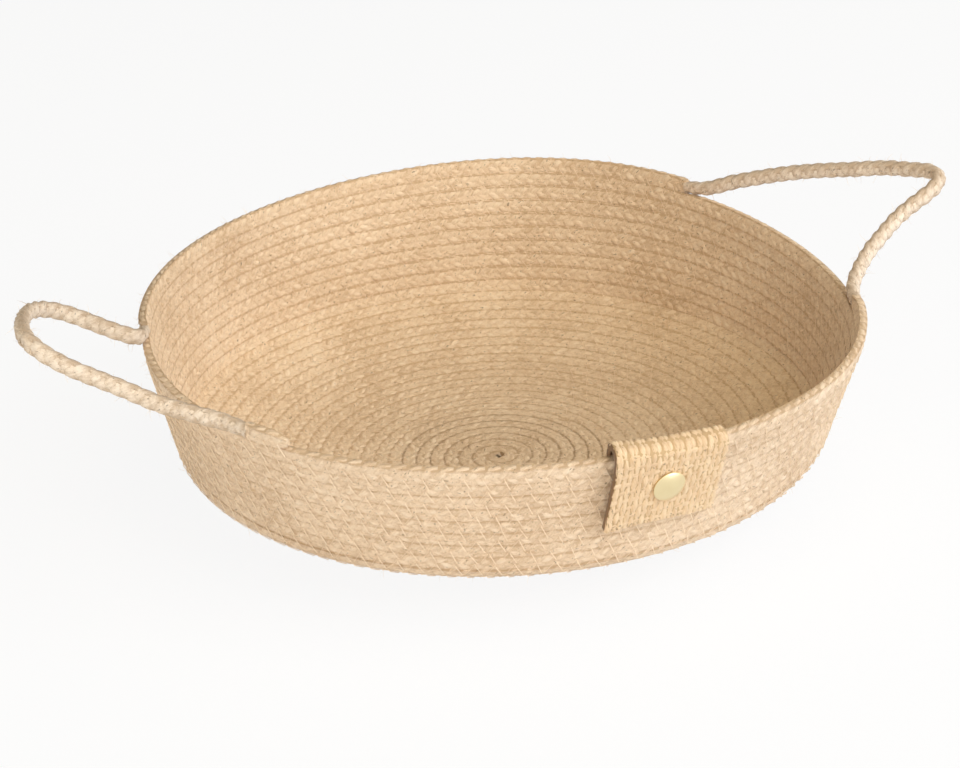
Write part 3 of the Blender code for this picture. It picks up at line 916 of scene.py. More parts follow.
@dataclass
class BasketForm:
    """The rule that the rope's courses follow: a dished floor, a rounded corner and a wall.

    The solids' base height gives the outline, and the base height is where its middle lies
    here, so that no strand or fibre reaches under the table. A wave is its number of lobes,
    its height as a share of the rim's radius and the degrees of a crest.
    """

    pitch: float = 5.6 * MM
    rim_radius: float = 0.140
    rim_height: float = 0.0734
    flat_radius: float = 0.045
    floor_rise: float = 27.2
    corner_radius: float = 0.0081
    wall_lean: float = 14.7
    cad_base_height: float = 0.0016651
    base_height: float = 0.00228
    corner_waves: tuple = ((1, 0.0184, -103.7), (2, 0.0145, -83.4), (3, 0.0063, -23.6))
    rim_waves: tuple = ((1, 0.0117, -2.7), (2, 0.0189, 67.0), (3, 0.0255, -56.1), (4, 0.0067, 40.4))
    rim_wave_growth: float = 1.5
    rope_end: float = 213.0
    floor_angle: float = field(init=False)
    wall_angle: float = field(init=False)
    corner_length: float = field(init=False)
    floor_reach: float = field(init=False)
    rope_reach: float = field(init=False)

    def __post_init__(self) -> None:
        """Work out how far the floor and the wall reach along the outline."""
        self.floor_angle = math.radians(self.floor_rise)
        self.wall_angle = math.radians(90 - self.wall_lean)
        sines = math.sin(self.wall_angle) - math.sin(self.floor_angle)
        cosines = math.cos(self.floor_angle) - math.cos(self.wall_angle)
        out = self.rim_radius - self.flat_radius - self.corner_radius * sines
        up = self.rim_height - self.cad_base_height - self.corner_radius * cosines
        dish_out, dish_up = math.sin(self.floor_angle), 1 - math.cos(self.floor_angle)
        wall_out, wall_up = math.cos(self.wall_angle), math.sin(self.wall_angle)
        solver = dish_out * wall_up - wall_out * dish_up
        dish_radius = (out * wall_up - up * wall_out) / solver
        wall_length = (up * dish_out - out * dish_up) / solver
        self.corner_length = self.corner_radius * (self.wall_angle - self.floor_angle)
        self.floor_reach = self.flat_radius + dish_radius * self.floor_angle
        self.rope_reach = self.floor_reach + self.corner_length + wall_length

    @property
    def end_turns(self) -> float:
        """How many turns the rope makes."""
        return self.rope_reach / self.pitch

    def wave(self, waves: Sequence[tuple[int, float, float]], degrees: np.ndarray) -> np.ndarray:
        """Return the sum of a table of waves round the basket, as a length."""
        return self.rim_radius * sum(
            share * np.cos(lobes * np.radians(degrees - peak)) for lobes, share, peak in waves
        )

    def surface(self, degrees: Any, reach: Any) -> tuple[np.ndarray, np.ndarray, np.ndarray]:
        """Find places on the middle of the rope's sheet.

        Args:
            degrees: Places round the rim, from +X.
            reach: Ways along the outline from the middle of the floor.

        Returns:
            Points, the direction along the outline there, and the one out of the basket.
        """
        degrees, reach = np.broadcast_arrays(np.asarray(degrees, float), np.asarray(reach, float))
        floor_reach = self.floor_reach + self.wave(self.corner_waves, degrees)
        dish_radius = (floor_reach - self.flat_radius) / self.floor_angle
        dish = np.clip((reach - self.flat_radius) / dish_radius, 0, self.floor_angle)
        radius = np.minimum(reach, self.flat_radius) + dish_radius * np.sin(dish)
        height = self.base_height + dish_radius * (1 - np.cos(dish))
        past = np.maximum(reach - floor_reach, 0)
        corner = np.minimum(self.floor_angle + past / self.corner_radius, self.wall_angle)
        radius = radius + self.corner_radius * (np.sin(corner) - math.sin(self.floor_angle))
        height = height + self.corner_radius * (math.cos(self.floor_angle) - np.cos(corner))
        up = np.maximum(past - self.corner_length, 0)
        radius = radius + up * math.cos(self.wall_angle)
        height = height + up * math.sin(self.wall_angle)
        climb = past / (self.rope_reach - self.floor_reach)
        radius = radius + climb ** self.rim_wave_growth * self.wave(self.rim_waves, degrees)
        steep = np.where(past > 0, corner, dish)
        angle = np.radians(degrees)
        ray = np.stack((np.cos(angle), np.sin(angle), np.zeros_like(angle)), -1)
        points = ray * radius[..., None] + UP * height[..., None]
        side = ray * np.cos(steep)[..., None] + UP * np.sin(steep)[..., None]
        out = ray * np.sin(steep)[..., None] - UP * np.cos(steep)[..., None]
        return points, side, out

    def turn_degrees(self, turn: np.ndarray) -> np.ndarray:
        """Return the place round the rim that the rope passes at a turn."""
        return self.rope_end + 360 * (turn - self.end_turns)

    def last_turn_at(self, degrees: Any) -> Any:
        """Return the turn at which the last course passes a place round the rim, or several."""
        return self.end_turns - ((self.rope_end - degrees) % 360) / 360

    def courses(self, first: float, last: float, shift: float = 0.0, per_turn: int = 240) -> Route:
        """Return the rope's route from turn to turn.

        Args:
            first: The turn it starts at.
            last: The turn it ends at.
            shift: Courses to the outside, such as a half for the joint between two.
            per_turn: Points to each turn.

        Returns:
            The route.
        """
        turns = np.linspace(first, last, max(int((last - first) * per_turn), 2))
        degrees = self.turn_degrees(turns)
        points, side, out = self.surface(degrees, (turns + shift) * self.pitch)
        return Route.over(points, side, out)


@dataclass
class LoopForm:
    """A handle: where it leaves the rim, how far it reaches, and its outline.

    The roots are degrees round the rim. Each point of the outline lies along the line through
    the roots, in halves of their distance from its middle, then out and up in shares of the
    reach, on a plane tilted up by some degrees.
    """

    node: str
    body: Body
    joint: str
    roots: tuple[float, float]
    reach: float
    shares: tuple
    tilt: float = 25.0
    steps: int = 8

    def line(self, form: BasketForm) -> tuple[np.ndarray, np.ndarray]:
        """Lay the loop's points out.

        Args:
            form: The rule of the rim that it leaves.

        Returns:
            The points between its roots, and the normal of its plane.
        """
        turns = np.array([form.last_turn_at(degrees) for degrees in self.roots])
        ends = form.surface(form.turn_degrees(turns), turns * form.pitch)[0]
        along = unit(ends[0] - ends[1])
        level = unit(np.cross(UP, along))
        raised = np.cross(along, level)
        angle = math.radians(self.tilt)
        outward = level * math.cos(angle) + raised * math.sin(angle)
        normal = raised * math.cos(angle) - level * math.sin(angle)
        middle, half = ends.mean(0), np.linalg.norm(ends[0] - ends[1]) / 2
        rows = [
            middle + along * (share * half) + outward * (out * self.reach) + normal * (rise * self.reach)
            for share, out, rise in self.shares
        ]
        return np.array(rows), normal

    def between(
        self, form: BasketForm, before: np.ndarray, after: np.ndarray
    ) -> tuple[np.ndarray, np.ndarray, np.ndarray]:
        """Run the loop smoothly from the rim and back to it.

        Args:
            form: The rule of the rim.
            before: The rope's last three points before the loop.
            after: Its first three after the loop.

        Returns:
            The loop's points, and the two directions across the rope at each.
        """
        points, normal = self.line(form)
        ends = 2 * self.steps + 1
        line = smooth_line(np.concatenate((before, points, after)), self.steps)[ends:-ends]
        tangent = unit(np.gradient(line, axis=0))
        return line, np.tile(normal, (len(line), 1)), unit(np.cross(tangent, normal))


RIGHT_LOOP = LoopForm(
    "right_handle", Body.RIGHT, "right_handle_bend", (-30.0, 24.0), 0.066,
    (
        (0.89, 0.06, 0.0), (0.78, 0.18, 0.0), (0.69, 0.32, 0.0), (0.63, 0.46, 0.0),
        (0.58, 0.60, 0.0), (0.56, 0.74, 0.0), (0.55, 0.89, 0.0), (0.50, 0.98, 0.0),
        (0.40, 1.00, 0.0), (0.25, 0.94, 0.0), (0.06, 0.85, 0.0), (-0.12, 0.73, 0.0),
        (-0.31, 0.61, 0.0), (-0.49, 0.48, 0.0), (-0.65, 0.34, 0.0), (-0.80, 0.19, 0.0),
        (-0.91, 0.06, 0.0),
    ),
)
LEFT_LOOP = LoopForm(
    "left_handle", Body.LEFT, "left_handle_bend", (166.0, 204.0), 0.062,
    (
        (0.89, 0.08, 0.0), (0.91, 0.20, 0.0), (1.00, 0.31, 0.0), (1.12, 0.43, 0.0),
        (1.17, 0.56, 0.0), (1.10, 0.69, 0.0), (0.90, 0.82, 0.0), (0.55, 0.94, 0.0),
        (0.21, 1.00, 0.0), (0.02, 0.94, -0.02), (-0.12, 0.82, -0.04), (-0.23, 0.67, -0.05),
        (-0.34, 0.51, -0.06), (-0.48, 0.35, -0.07), (-0.66, 0.20, -0.05), (-0.84, 0.07, -0.02),
    ),
)
LOOPS = {loop.node: loop for loop in (RIGHT_LOOP, LEFT_LOOP)}


def root_turns(form: BasketForm) -> list[float]:
    """Return the turns at which the rope leaves the rim and comes back, for each loop."""
    return [form.last_turn_at(degrees) for loop in LOOPS.values() for degrees in loop.roots]


STRETCHES = {
    "floor_inner": "base_coil", "floor_outer": "base_coil", "wall_lower": "wall_coil",
    "wall_upper": "wall_coil", RIGHT_LOOP.node: RIGHT_LOOP.node, "rim": "rim_rope",
    LEFT_LOOP.node: LEFT_LOOP.node, "tail": "rope_tail",
}
BEFORE_A_LOOP = ("wall_upper", "rim")
AFTER_A_LOOP = ("rim", "tail")
LOOP_SIZES = {
    "Strand_swing": 0.52 * MM, "Strand_rise": 0.45 * MM, "Strand_width": 4.5 * MM,
    "Strand_thickness": 3.9 * MM, "Plait_length": 17.0 * MM, "Wander": 0.25 * MM,
    "Core_width": 3.4 * MM, "Core_thickness": 3.0 * MM,
}


@dataclass
class Rope:
    """The one plaited rope, laid as a whole and cut into stretches that the bodies carry.

    STRETCHES names them from the middle of the floor to the rope's end, each with the solid
    that it stands for. Cuts gives the first and last point of each.
    """

    form: BasketForm
    jute: bpy.types.Material
    # painted light: a paler, less saturated copy of the rope's material, laid on the handles
    handled: bpy.types.Material
    fibre: bpy.types.Material
    step: float = 1.3 * MM
    start_turn: float = 0.05
    floor_split: float = 15.8
    floor_end: float = 22.3
    wall_split: float = 27.3
    free_end: float = 4.0 * MM
    handle_swell: float = 1.2
    rim_swell: float = 1.14
    taper: float = 12.0 * MM
    end_share: float = 0.45
    soften: int = 2
    settle: float = 9.0 * MM
    sewn_fibres: float = 7000.0
    sewn_fibre_length: float = 3.0 * MM
    free_fibres: float = 22000.0
    free_fibre_length: float = 3.4 * MM
    cuts: dict[str, tuple[int, int]] = field(default_factory=dict)

    def whole(self) -> Route:
        """Lay the rope's whole route, and note where it is cut.

        Returns:
            The route, with points a step apart.
        """
        form = self.form
        run = self.free_end / (math.tau * form.rim_radius)
        turns = (self.start_turn, self.floor_split, self.floor_end, self.wall_split, *root_turns(form))
        tables: list[np.ndarray] = []
        spans = zip(STRETCHES, turns, (*turns[1:], form.end_turns))
        for number, (name, first, last) in enumerate(spans):
            if name in LOOPS:
                after = form.courses(last + run, last + 3 * run, per_turn=480).points[:3]
                columns = LOOPS[name].between(form, tables[-1][-3:, :3], after)
                bare = np.zeros((len(columns[0]), 1))
            else:
                first += run * (name in AFTER_A_LOOP)
                last -= run * (name in BEFORE_A_LOOP)
                route = form.courses(first, last)
                columns = route.points, route.side, route.out
                bare = self.bare(np.linspace(first, last, len(route.points)))
            tables.append(np.hstack((*columns, bare, np.full_like(bare, number))))
        return self.resampled(np.concatenate(tables))

    def bare(self, turns: np.ndarray) -> np.ndarray:
        """Find where no course lies on top of the rope.

        Args:
            turns: Turns along the rope.

        Returns:
            A column with 1 where the rope is bare and 0 elsewhere.
        """
        form = self.form
        degrees = form.turn_degrees(turns)
        open_rim = turns > form.end_turns - 1
        for loop in LOOPS.values():
            first, last = loop.roots
            in_gap = (degrees - first) % 360 < last - first
            open_rim |= (turns > form.end_turns - 2) & in_gap
        return open_rim.astype(float)[:, None]

    def resampled(self, table: np.ndarray) -> Route:
        """Give the route even steps, smooth directions and swollen handles.

        Args:
            table: Each point's place, side, out, bareness and number of its stretch.

        Returns:
            The route.
        """
        along = travelled(table[:, :3])
        even = np.linspace(0.0, along[-1], int(along[-1] / self.step))
        line, side, out, bare, kind = np.split(sampled(even, along, table), (3, 6, 9, 10), axis=1)
        line, reach = smoothed(line, self.soften), int(self.settle / self.step)
        flip = np.where(dots(out[:-1], out[1:]) < 0, -1.0, 1.0)
        out = smoothed(out * np.concatenate(([1.0], np.cumprod(flip)))[:, None], reach)
        tangent, across = unit(np.gradient(line, axis=0)), smoothed(side, reach)
        across = unit(across - tangent * dots(across, tangent)[:, None])
        outward = np.cross(tangent, across)
        outward[dots(outward, out) < 0] *= -1.0
        swell = np.clip((along[-1] - even) / self.taper + self.end_share, 0.0, 1.0)
        swell *= 1.0 + (self.rim_swell - 1.0) * smoothed(bare, reach)[:, 0]
        kind = np.maximum.accumulate(np.rint(kind[:, 0]).astype(int))
        for number, name in enumerate(STRETCHES):
            inside = np.flatnonzero(kind == number)
            self.cuts[name] = (int(inside[0]), min(int(inside[-1]) + 1, len(even) - 1))
            if name in LOOPS:
                steps = np.arange(len(inside))
                away = np.minimum(steps, steps[::-1]) * self.step
                swell[inside] = 1.0 + (self.handle_swell - 1.0) * np.clip(away / self.taper, 0, 1)
        return Route.over(line, across, outward, swell=swell)

    def build(self, plait: PlaitTree) -> dict[str, bpy.types.Object]:
        """Make every stretch of the rope.

        Args:
            plait: The tree that plaits it.

        Returns:
            The pieces by their stretches' names.
        """
        route = self.whole()
        pieces = {}
        for seed, (name, (first, last)) in enumerate(self.cuts.items()):
            loop, free = name in LOOPS, name in (*LOOPS, *AFTER_A_LOOP)
            pieces[name] = plait.lay(
                name + "_plait", [route.part(first, last)], Seed=seed,
                Fibres_per_area=self.free_fibres if free else self.sewn_fibres,
                Fibre_length=self.free_fibre_length if free else self.sewn_fibre_length,
                # painted light: the handles take the paler copy of the rope's material
                Rope_material=self.handled if loop else self.jute, Fibre_material=self.fibre,
                **(LOOP_SIZES if loop else {}),
            )
        return pieces


@dataclass
class Sewing:
    """The zigzag of thread that joins each course to the next, on both faces."""

    form: BasketForm
    thread: bpy.types.Material
    slant_leg: float = 2.7 * MM
    return_leg: float = 4.2 * MM
    swing: float = 3.6 * MM
    height: float = 1.98 * MM
    sink: float = 0.6 * MM
    return_sink: float = 0.3 * MM
    width: float = 0.31 * MM
    return_share: float = 0.5
    inside_share: float = 0.45
    inside_drop: float = 0.25 * MM
    leg_shares: Triple = (0.0, 0.16, 0.84)
    uneven: float = 0.12
    seed: int = 11
    first_turn: float = 0.7

    def spans(self) -> list[tuple[float, float]]:
        """Return the turns between which each thread runs, with gaps where a handle leaves the rim."""
        marks = [turn - 1 for turn in root_turns(self.form)]
        return [(self.first_turn, marks[0]), (marks[1], marks[2]), (marks[3], self.form.end_turns - 1)]

    def routes(self, outside: bool) -> list[Route]:
        """Lay the zigzag on one face of the basket.

        Args:
            outside: Whether it is the outer face.

        Returns:
            A route for each thread.
        """
        face, face_share = (1.0, 1.0) if outside else (-1.0, self.inside_share)
        height = self.height - (0.0 if outside else self.inside_drop)
        shares = np.array(self.leg_shares)
        chance = np.random.default_rng(self.seed)
        pair = self.slant_leg + self.return_leg
        found = []
        for first, last in self.spans():
            joint = self.form.courses(first, last, shift=0.5)
            legs = 2 * int(joint.along[-1] / pair)
            stitches = np.arange(legs + 1)
            needle = stitches // 2 * pair + stitches % 2 * self.return_leg
            needle = needle + chance.uniform(-self.uneven, self.uneven, legs + 1) * pair / 2
            reach = np.where(stitches % 2, 1.0, -1.0) * chance.uniform(1 - 2 * self.uneven, 1.0, legs + 1)
            places, swing = (
                (ends[:-1, None] + np.diff(ends)[:, None] * shares).ravel() for ends in (needle, reach)
            )
            columns = [sampled(places, joint.along, rows) for rows in (joint.points, joint.side, joint.out)]
            slanting = np.repeat(stitches[:-1], len(shares)) % 2 == (1 if outside else 0)
            deep = np.tile(shares == 0.0, legs)
            lift = face * (height - self.sink * deep - self.return_sink * ~slanting)
            swell = np.where(slanting, 1.0, self.return_share) * face_share
            found.append(Route.over(*columns, swell=swell, swing=swing, lift=lift))
        return found

    def build(self, yarn: YarnTree) -> list[bpy.types.Object]:
        """Make the thread of both faces."""
        return [
            yarn.lay(
                name, self.routes(outside), Swing=self.swing, Rise=1.0,
                Yarn_width=self.width, Yarn_thickness=self.width, Material=self.thread,
            )
            for name, outside in (("sewing_outside", True), ("sewing_inside", False))
        ]


@dataclass
class Tab:
    """The webbing tab folded over the rim: woven yarns round a thin dark sheet, which is painted shade
    between them.
    """

    form: BasketForm
    webbing: bpy.types.Material
    # painted shade: the material of the dark sheet between the yarns
    ground: bpy.types.Material
    degrees: float = 267.7
    width: float = 0.042
    outer_length: float = 0.027
    inner_length: float = 0.029
    thickness: float = 2.2 * MM
    lift: float = 0.6 * MM
    half_rope: float = 2.165 * MM
    fold_left: float = 4.1 * MM
    fold_right: float = 1.6 * MM
    end_rise: float = 3.0 * MM
    stand_off: float = 3.0 * MM
    skew: float = 0.075
    leg_steps: int = 10
    fold_steps: int = 20
    probe: float = 0.4 * MM
    warps: int = 20
    warp_size: Triple = (2.35 * MM, 1.5 * MM, 0.26 * MM)
    warp_shift: float = 0.31
    wefts: int = 21
    weft_size: Triple = (2.6 * MM, 1.1 * MM, 0.10 * MM)
    weft_shift: float = 0.47
    weft_drop: float = 5.0
    crossing_points: int = 5
    fold_reach: float = 0.075
    fold_edge: float = 1.3
    fold_fade: float = 0.15
    block_length: float = 4.3 * MM
    block_rise: float = 1.2
    pair_draw: float = 0.5 * MM
    # painted shade: a dark sheet between the yarns stands in for the shade in the weave's gaps
    ground_thickness: float = 0.9 * MM
    ground_half_width: float = 0.985
    ground_end: float = 0.006
    # painted shadow: a flap turned in from the left edge towards the wall, painted near black for the shade
    # in the gap behind the tab
    hem: float = 2.4 * MM
    hem_steps: int = 3
    uneven: float = 0.16
    knot_points: int = 4
    seed: int = 5

    def outline(self, across: float) -> np.ndarray:
        """Draw the strip's outline at a place on its width.

        Args:
            across: The place, from -1 at the left to 1 at the right.

        Returns:
            Heights over the rim course and ways out of it, from the outer end to the inner.
        """
        leftness = (1 - across) / 2
        inside = self.half_rope + self.lift + self.thickness / 2
        outside = inside + self.stand_off * max(-across, 0.0) ** 2
        fold = self.fold_right + (self.fold_left - self.fold_right) * leftness
        end = self.end_rise * leftness - self.outer_length
        legs = range(self.leg_steps)
        rows = [(end + (fold - end) * step / self.leg_steps, outside) for step in legs]
        middle, radius = (outside - inside) / 2, (outside + inside) / 2
        for step in range(self.fold_steps + 1):
            angle = math.pi * step / self.fold_steps
            rows.append((fold + radius * math.sin(angle), middle + radius * math.cos(angle)))
        rows += [
            (fold - (fold + self.inner_length) * (step + 1) / self.leg_steps, -inside) for step in legs
        ]
        return np.array(rows)

    def length(self, across: float) -> float:
        """Return the strip's length at a place on its width."""
        return float(travelled(self.outline(across))[-1])

    def place(self, across: np.ndarray, share: np.ndarray) -> tuple[np.ndarray, np.ndarray]:
        """Find points on the strip's middle sheet.

        Args:
            across: Places on its width, from -1 at the left to 1 at the right.
            share: Ways along it, from 0 at the outer end to 1 at the inner end.

        Returns:
            The points and the directions out of the strip.
        """
        across, share = np.broadcast_arrays(np.asarray(across, float), np.asarray(share, float))
        found = np.empty((*across.shape, 4))
        for index in np.ndindex(across.shape):
            table = self.outline(float(across[index]))
            along = travelled(table)
            here = share[index] * along[-1]
            spots = np.clip((here, here + self.probe, here - self.probe), 0.0, along[-1])
            middle, ahead, behind = sampled(spots, along, table)
            found[index] = (*middle, *(ahead - behind))
        heights, outs, rise, run = np.moveaxis(found, -1, 0)
        drop = np.maximum(-heights, 0.0)
        shift = self.width / 2 * across - drop * self.skew
        radius = self.form.rim_radius - drop * math.sin(math.radians(self.form.wall_lean))
        degrees = self.degrees + np.degrees(shift / radius)
        reach = self.form.last_turn_at(degrees) * self.form.pitch - drop
        base, side, outward = self.form.surface(degrees, reach)
        points = base + side * np.maximum(heights, 0.0)[..., None] + outward * outs[..., None]
        return points, unit(outward * rise[..., None] - side * run[..., None])

    def spun(
        self, points: np.ndarray, normal: np.ndarray, start: float, wave: np.ndarray,
        chance: np.random.Generator,
    ) -> Route:
        """Make a route for a hand-spun yarn of uneven thickness.

        Args:
            points: Its points.
            normal: The direction out of the strip at each.
            start: Where its grain starts.
            wave: How far it lies out of the strip at each point.
            chance: Where its uneven thickness comes from.

        Returns:
            The route.
        """
        count = len(points)
        knots = chance.uniform(1 - self.uneven, 1 + self.uneven, count // self.knot_points + 2)
        swell = np.interp(np.arange(count) / self.knot_points, np.arange(len(knots)), knots)
        side = np.cross(normal, unit(np.gradient(points, axis=0)))
        return Route.over(points, side, normal, start, swell=swell, lift=wave)

    def fold_share(self, shares: np.ndarray) -> np.ndarray:
        """Return 1 on the fold and 0 away from it, with a soft step between."""
        away = np.abs(shares - 0.5) / self.fold_reach
        return np.clip((self.fold_edge - away) / self.fold_fade, 0.0, 1.0)

    def warp_routes(self) -> list[Route]:
        """Lay the yarns along the strip.

        Returns:
            Their routes, in pairs over the fold and singly elsewhere.
        """
        found = []
        chance = np.random.default_rng(self.seed)
        shares = np.linspace(0.0, 1.0, self.wefts * self.crossing_points + 1)
        fold = self.fold_share(shares)
        blocks = np.cos(math.tau * (shares - 0.5) * self.length(0.0) / self.block_length)
        for number in range(self.warps):
            drawn = (1 - 2 * (number % 2)) * self.pair_draw / self.width
            points, normal = self.place((2 * number + 1) / self.warps - 1 + fold * drawn, shares)
            single = np.sin(math.pi * (shares * self.wefts + number % 2))
            wave = single + (blocks * self.block_rise - single) * fold
            found.append(self.spun(points, normal, number * self.warp_shift, wave, chance))
        return found

    def weft_routes(self) -> list[Route]:
        """Lay the yarns across the strip.

        Returns:
            Their routes, which lie under the pairs on the fold.
        """
        found = []
        chance = np.random.default_rng(self.seed + 1)
        places = np.linspace(-1.0, 1.0, self.warps * self.crossing_points + 1)
        for number in range(self.wefts):
            share = (number + 0.5) / self.wefts
            points, normal = self.place(places, share)
            wave = -np.sin(math.pi * ((places + 1) / 2 * self.warps)) * (1 - 2 * (number % 2))
            wave = wave - (wave + self.weft_drop) * float(self.fold_share(share))
            found.append(self.spun(points, normal, number * self.weft_shift, wave, chance))
        return found

    def ground_sheet(self) -> bpy.types.Object:
        """Make the dark sheet between the yarns, which is painted shade, with its left edge turned in
        towards the wall as a painted shadow of the gap behind the tab.

        Returns:
            The sheet, which knows that its turned-in edge is deep, so that its material paints it near
            black.
        """
        grid = bmesh.new()
        across = np.linspace(-self.ground_half_width, self.ground_half_width, self.warps + 1)
        shares = np.linspace(self.ground_end, 1.0 - self.ground_end, 3 * self.wefts - 2)
        points, normals = self.place(across[:, None], shares[None, :])
        hem = [
            points[0] - normals[0] * (self.hem * step / self.hem_steps)
            for step in range(self.hem_steps, 0, -1)
        ]
        rows = [[grid.verts.new(point) for point in column] for column in (*hem, *points)]
        for left, right in zip(rows, rows[1:]):
            for index in range(len(left) - 1):
                grid.faces.new((left[index], right[index], right[index + 1], left[index + 1]))
        piece = smooth_piece("tab_painted_shade_sheet", grid, self.ground)
        # painted shadow: the turned-in flap is marked deep, which its material paints near black
        shade = np.zeros(len(piece.data.vertices), dtype=np.float32)
        shade[:len(hem) * len(shares)] = 1.0
        piece.data.attributes.new("depth", "FLOAT", "POINT").data.foreach_set("value", shade)
        solid = piece.modifiers.new("shade_sheet_solidify", "SOLIDIFY")
        solid.thickness, solid.offset = self.ground_thickness, 0.0
        return piece

    def build(self, yarn: YarnTree) -> list[bpy.types.Object]:
        """Make the strip.

        Args:
            yarn: The tree that lays its yarns.

        Returns:
            The painted shade sheet, the warp and the weft.
        """
        yarns = []
        for name, routes, size in (
            ("tab_warp", self.warp_routes(), self.warp_size),
            ("tab_weft", self.weft_routes(), self.weft_size),
        ):
            sizes = dict(zip(("Yarn_width", "Yarn_thickness", "Rise"), size))
            yarns.append(yarn.lay(name, routes, Material=self.webbing, **sizes))
        return [self.ground_sheet(), *yarns]


@dataclass
class Rivet:
    """The brass rivet: a domed cap outside the tab and a lower one inside it."""

    form: BasketForm
    tab: Tab
    brass: bpy.types.Material
    courses_down: float = 1.77
    cap_diameter: float = 12.2 * MM
    cap_height: float = 2.3 * MM
    back_diameter: float = 9.5 * MM
    back_height: float = 1.5 * MM
    edge: float = 0.5 * MM
    shoulder: float = 0.12 * MM
    shoulder_power: int = 6
    tuck: float = 0.3 * MM
    tuck_depth: float = 0.4 * MM
    bevel: float = 0.05 * MM
    dome_steps: int = 14
    turn_steps: int = 72
    sharp_angle: float = math.radians(50)

    def frame(self) -> Matrix:
        """Find the rivet's place.

        Returns:
            The frame there: x round the rim, y up the wall, z out of it.
        """
        drop = self.courses_down * self.form.pitch
        degrees = self.tab.degrees - math.degrees(drop * self.tab.skew / self.form.rim_radius)
        turn = self.form.last_turn_at(degrees)
        point, side, out = self.form.surface(degrees, turn * self.form.pitch - drop)
        frame = Matrix((np.cross(side, out), side, out)).transposed().to_4x4()
        frame.translation = Vector(point)
        return frame

    def turned(self, name: str, diameter: float, height: float, way: float) -> bpy.types.Object:
        """Turn one half of the rivet.

        Args:
            name: The piece's name.
            diameter: Its width.
            height: How far its top stands off the tab.
            way: 1 for a cap that looks out of the basket, -1 for one that looks in.

        Returns:
            The piece.
        """
        seat = self.tab.half_rope + self.tab.lift + self.tab.thickness
        radius, dome = diameter / 2, height - self.edge
        bow = (radius ** 2 + dome ** 2) / (2 * dome)
        full = math.asin(radius / bow)
        profile = [
            (radius - self.tuck, -self.tuck_depth), (radius - self.bevel, 0.0), (radius, self.edge / 2)
        ]
        for step in range(self.dome_steps + 1):
            left = 1 - step / self.dome_steps
            angle, shoulder = full * left, self.shoulder * left ** self.shoulder_power
            top = self.edge + dome - bow * (1 - math.cos(angle))
            profile.append((bow * math.sin(angle), top - shoulder))
        shell = bmesh.new()
        corners = [shell.verts.new((x, 0, way * (seat + z))) for x, z in profile]
        edges = [shell.edges.new(pair) for pair in zip(corners, corners[1:])]
        bmesh.ops.spin(
            shell, geom=corners + edges, cent=(0, 0, 0), axis=(0, 0, 1), angle=math.tau,
            steps=self.turn_steps,
        )
        bmesh.ops.remove_doubles(shell, verts=shell.verts, dist=0.01 * MM)
        bmesh.ops.holes_fill(shell, edges=[edge for edge in shell.edges if edge.is_boundary])
        bmesh.ops.recalc_face_normals(shell, faces=shell.faces)
        piece = smooth_piece(name, shell, self.brass)
        piece.data.transform(self.frame())
        piece.data.set_sharp_from_angle(angle=self.sharp_angle)
        return piece

    def build(self) -> dict[str, bpy.types.Object]:
        """Make both halves and return them by the solids that they stand for."""
        return {
            "rivet_cap": self.turned("rivet_dome", self.cap_diameter, self.cap_height, 1.0),
            "rivet_post": self.turned("rivet_back", self.back_diameter, self.back_height, -1.0),
        }


@dataclass(frozen=True)
class Lamp:
    """A square soft light.

    Azimuth counts in degrees to the right of the camera's own place, seen from above,
    elevation in degrees above the table, size is its side and power is in watts.
    """

    name: str
    azimuth: float
    elevation: float
    size: float
    power: float
    colour: Triple
    distance: float = 1.6

    def build(self, object_turn: float) -> None:
        """Add the light to the scene.

        Args:
            object_turn: How far the basket is turned towards the camera, in degrees.
        """
        data = bpy.data.lights.new(self.name, "AREA")
        data.size, data.energy, data.color = self.size, self.power, self.colour
        turn, rise = math.radians(self.azimuth - 90 - object_turn), math.radians(self.elevation)
        ray = Vector((math.cos(turn) * math.cos(rise), math.sin(turn) * math.cos(rise), math.sin(rise)))
        item = linked(self.name, data)
        item.location = ray * self.distance
        item.rotation_mode = "QUATERNION"
        item.rotation_quaternion = ray.to_track_quat("Z", "Y")


LAMPS = (
    Lamp("key", 60.0, 30.0, 1.4, 18.3, (0.86, 0.91, 1.0)),
    Lamp("side", 92.0, 30.0, 1.2, 4.5, (0.90, 0.92, 1.0)),
    Lamp("front", 25.0, 35.0, 1.0, 6.5, (1.0, 0.97, 0.88)),
    Lamp("fill", -42.0, 10.0, 0.9, 15.5, (0.98, 0.95, 0.90)),
    Lamp("top", 60.0, 75.0, 1.0, 8.7, (1.0, 0.84, 0.54)),
)


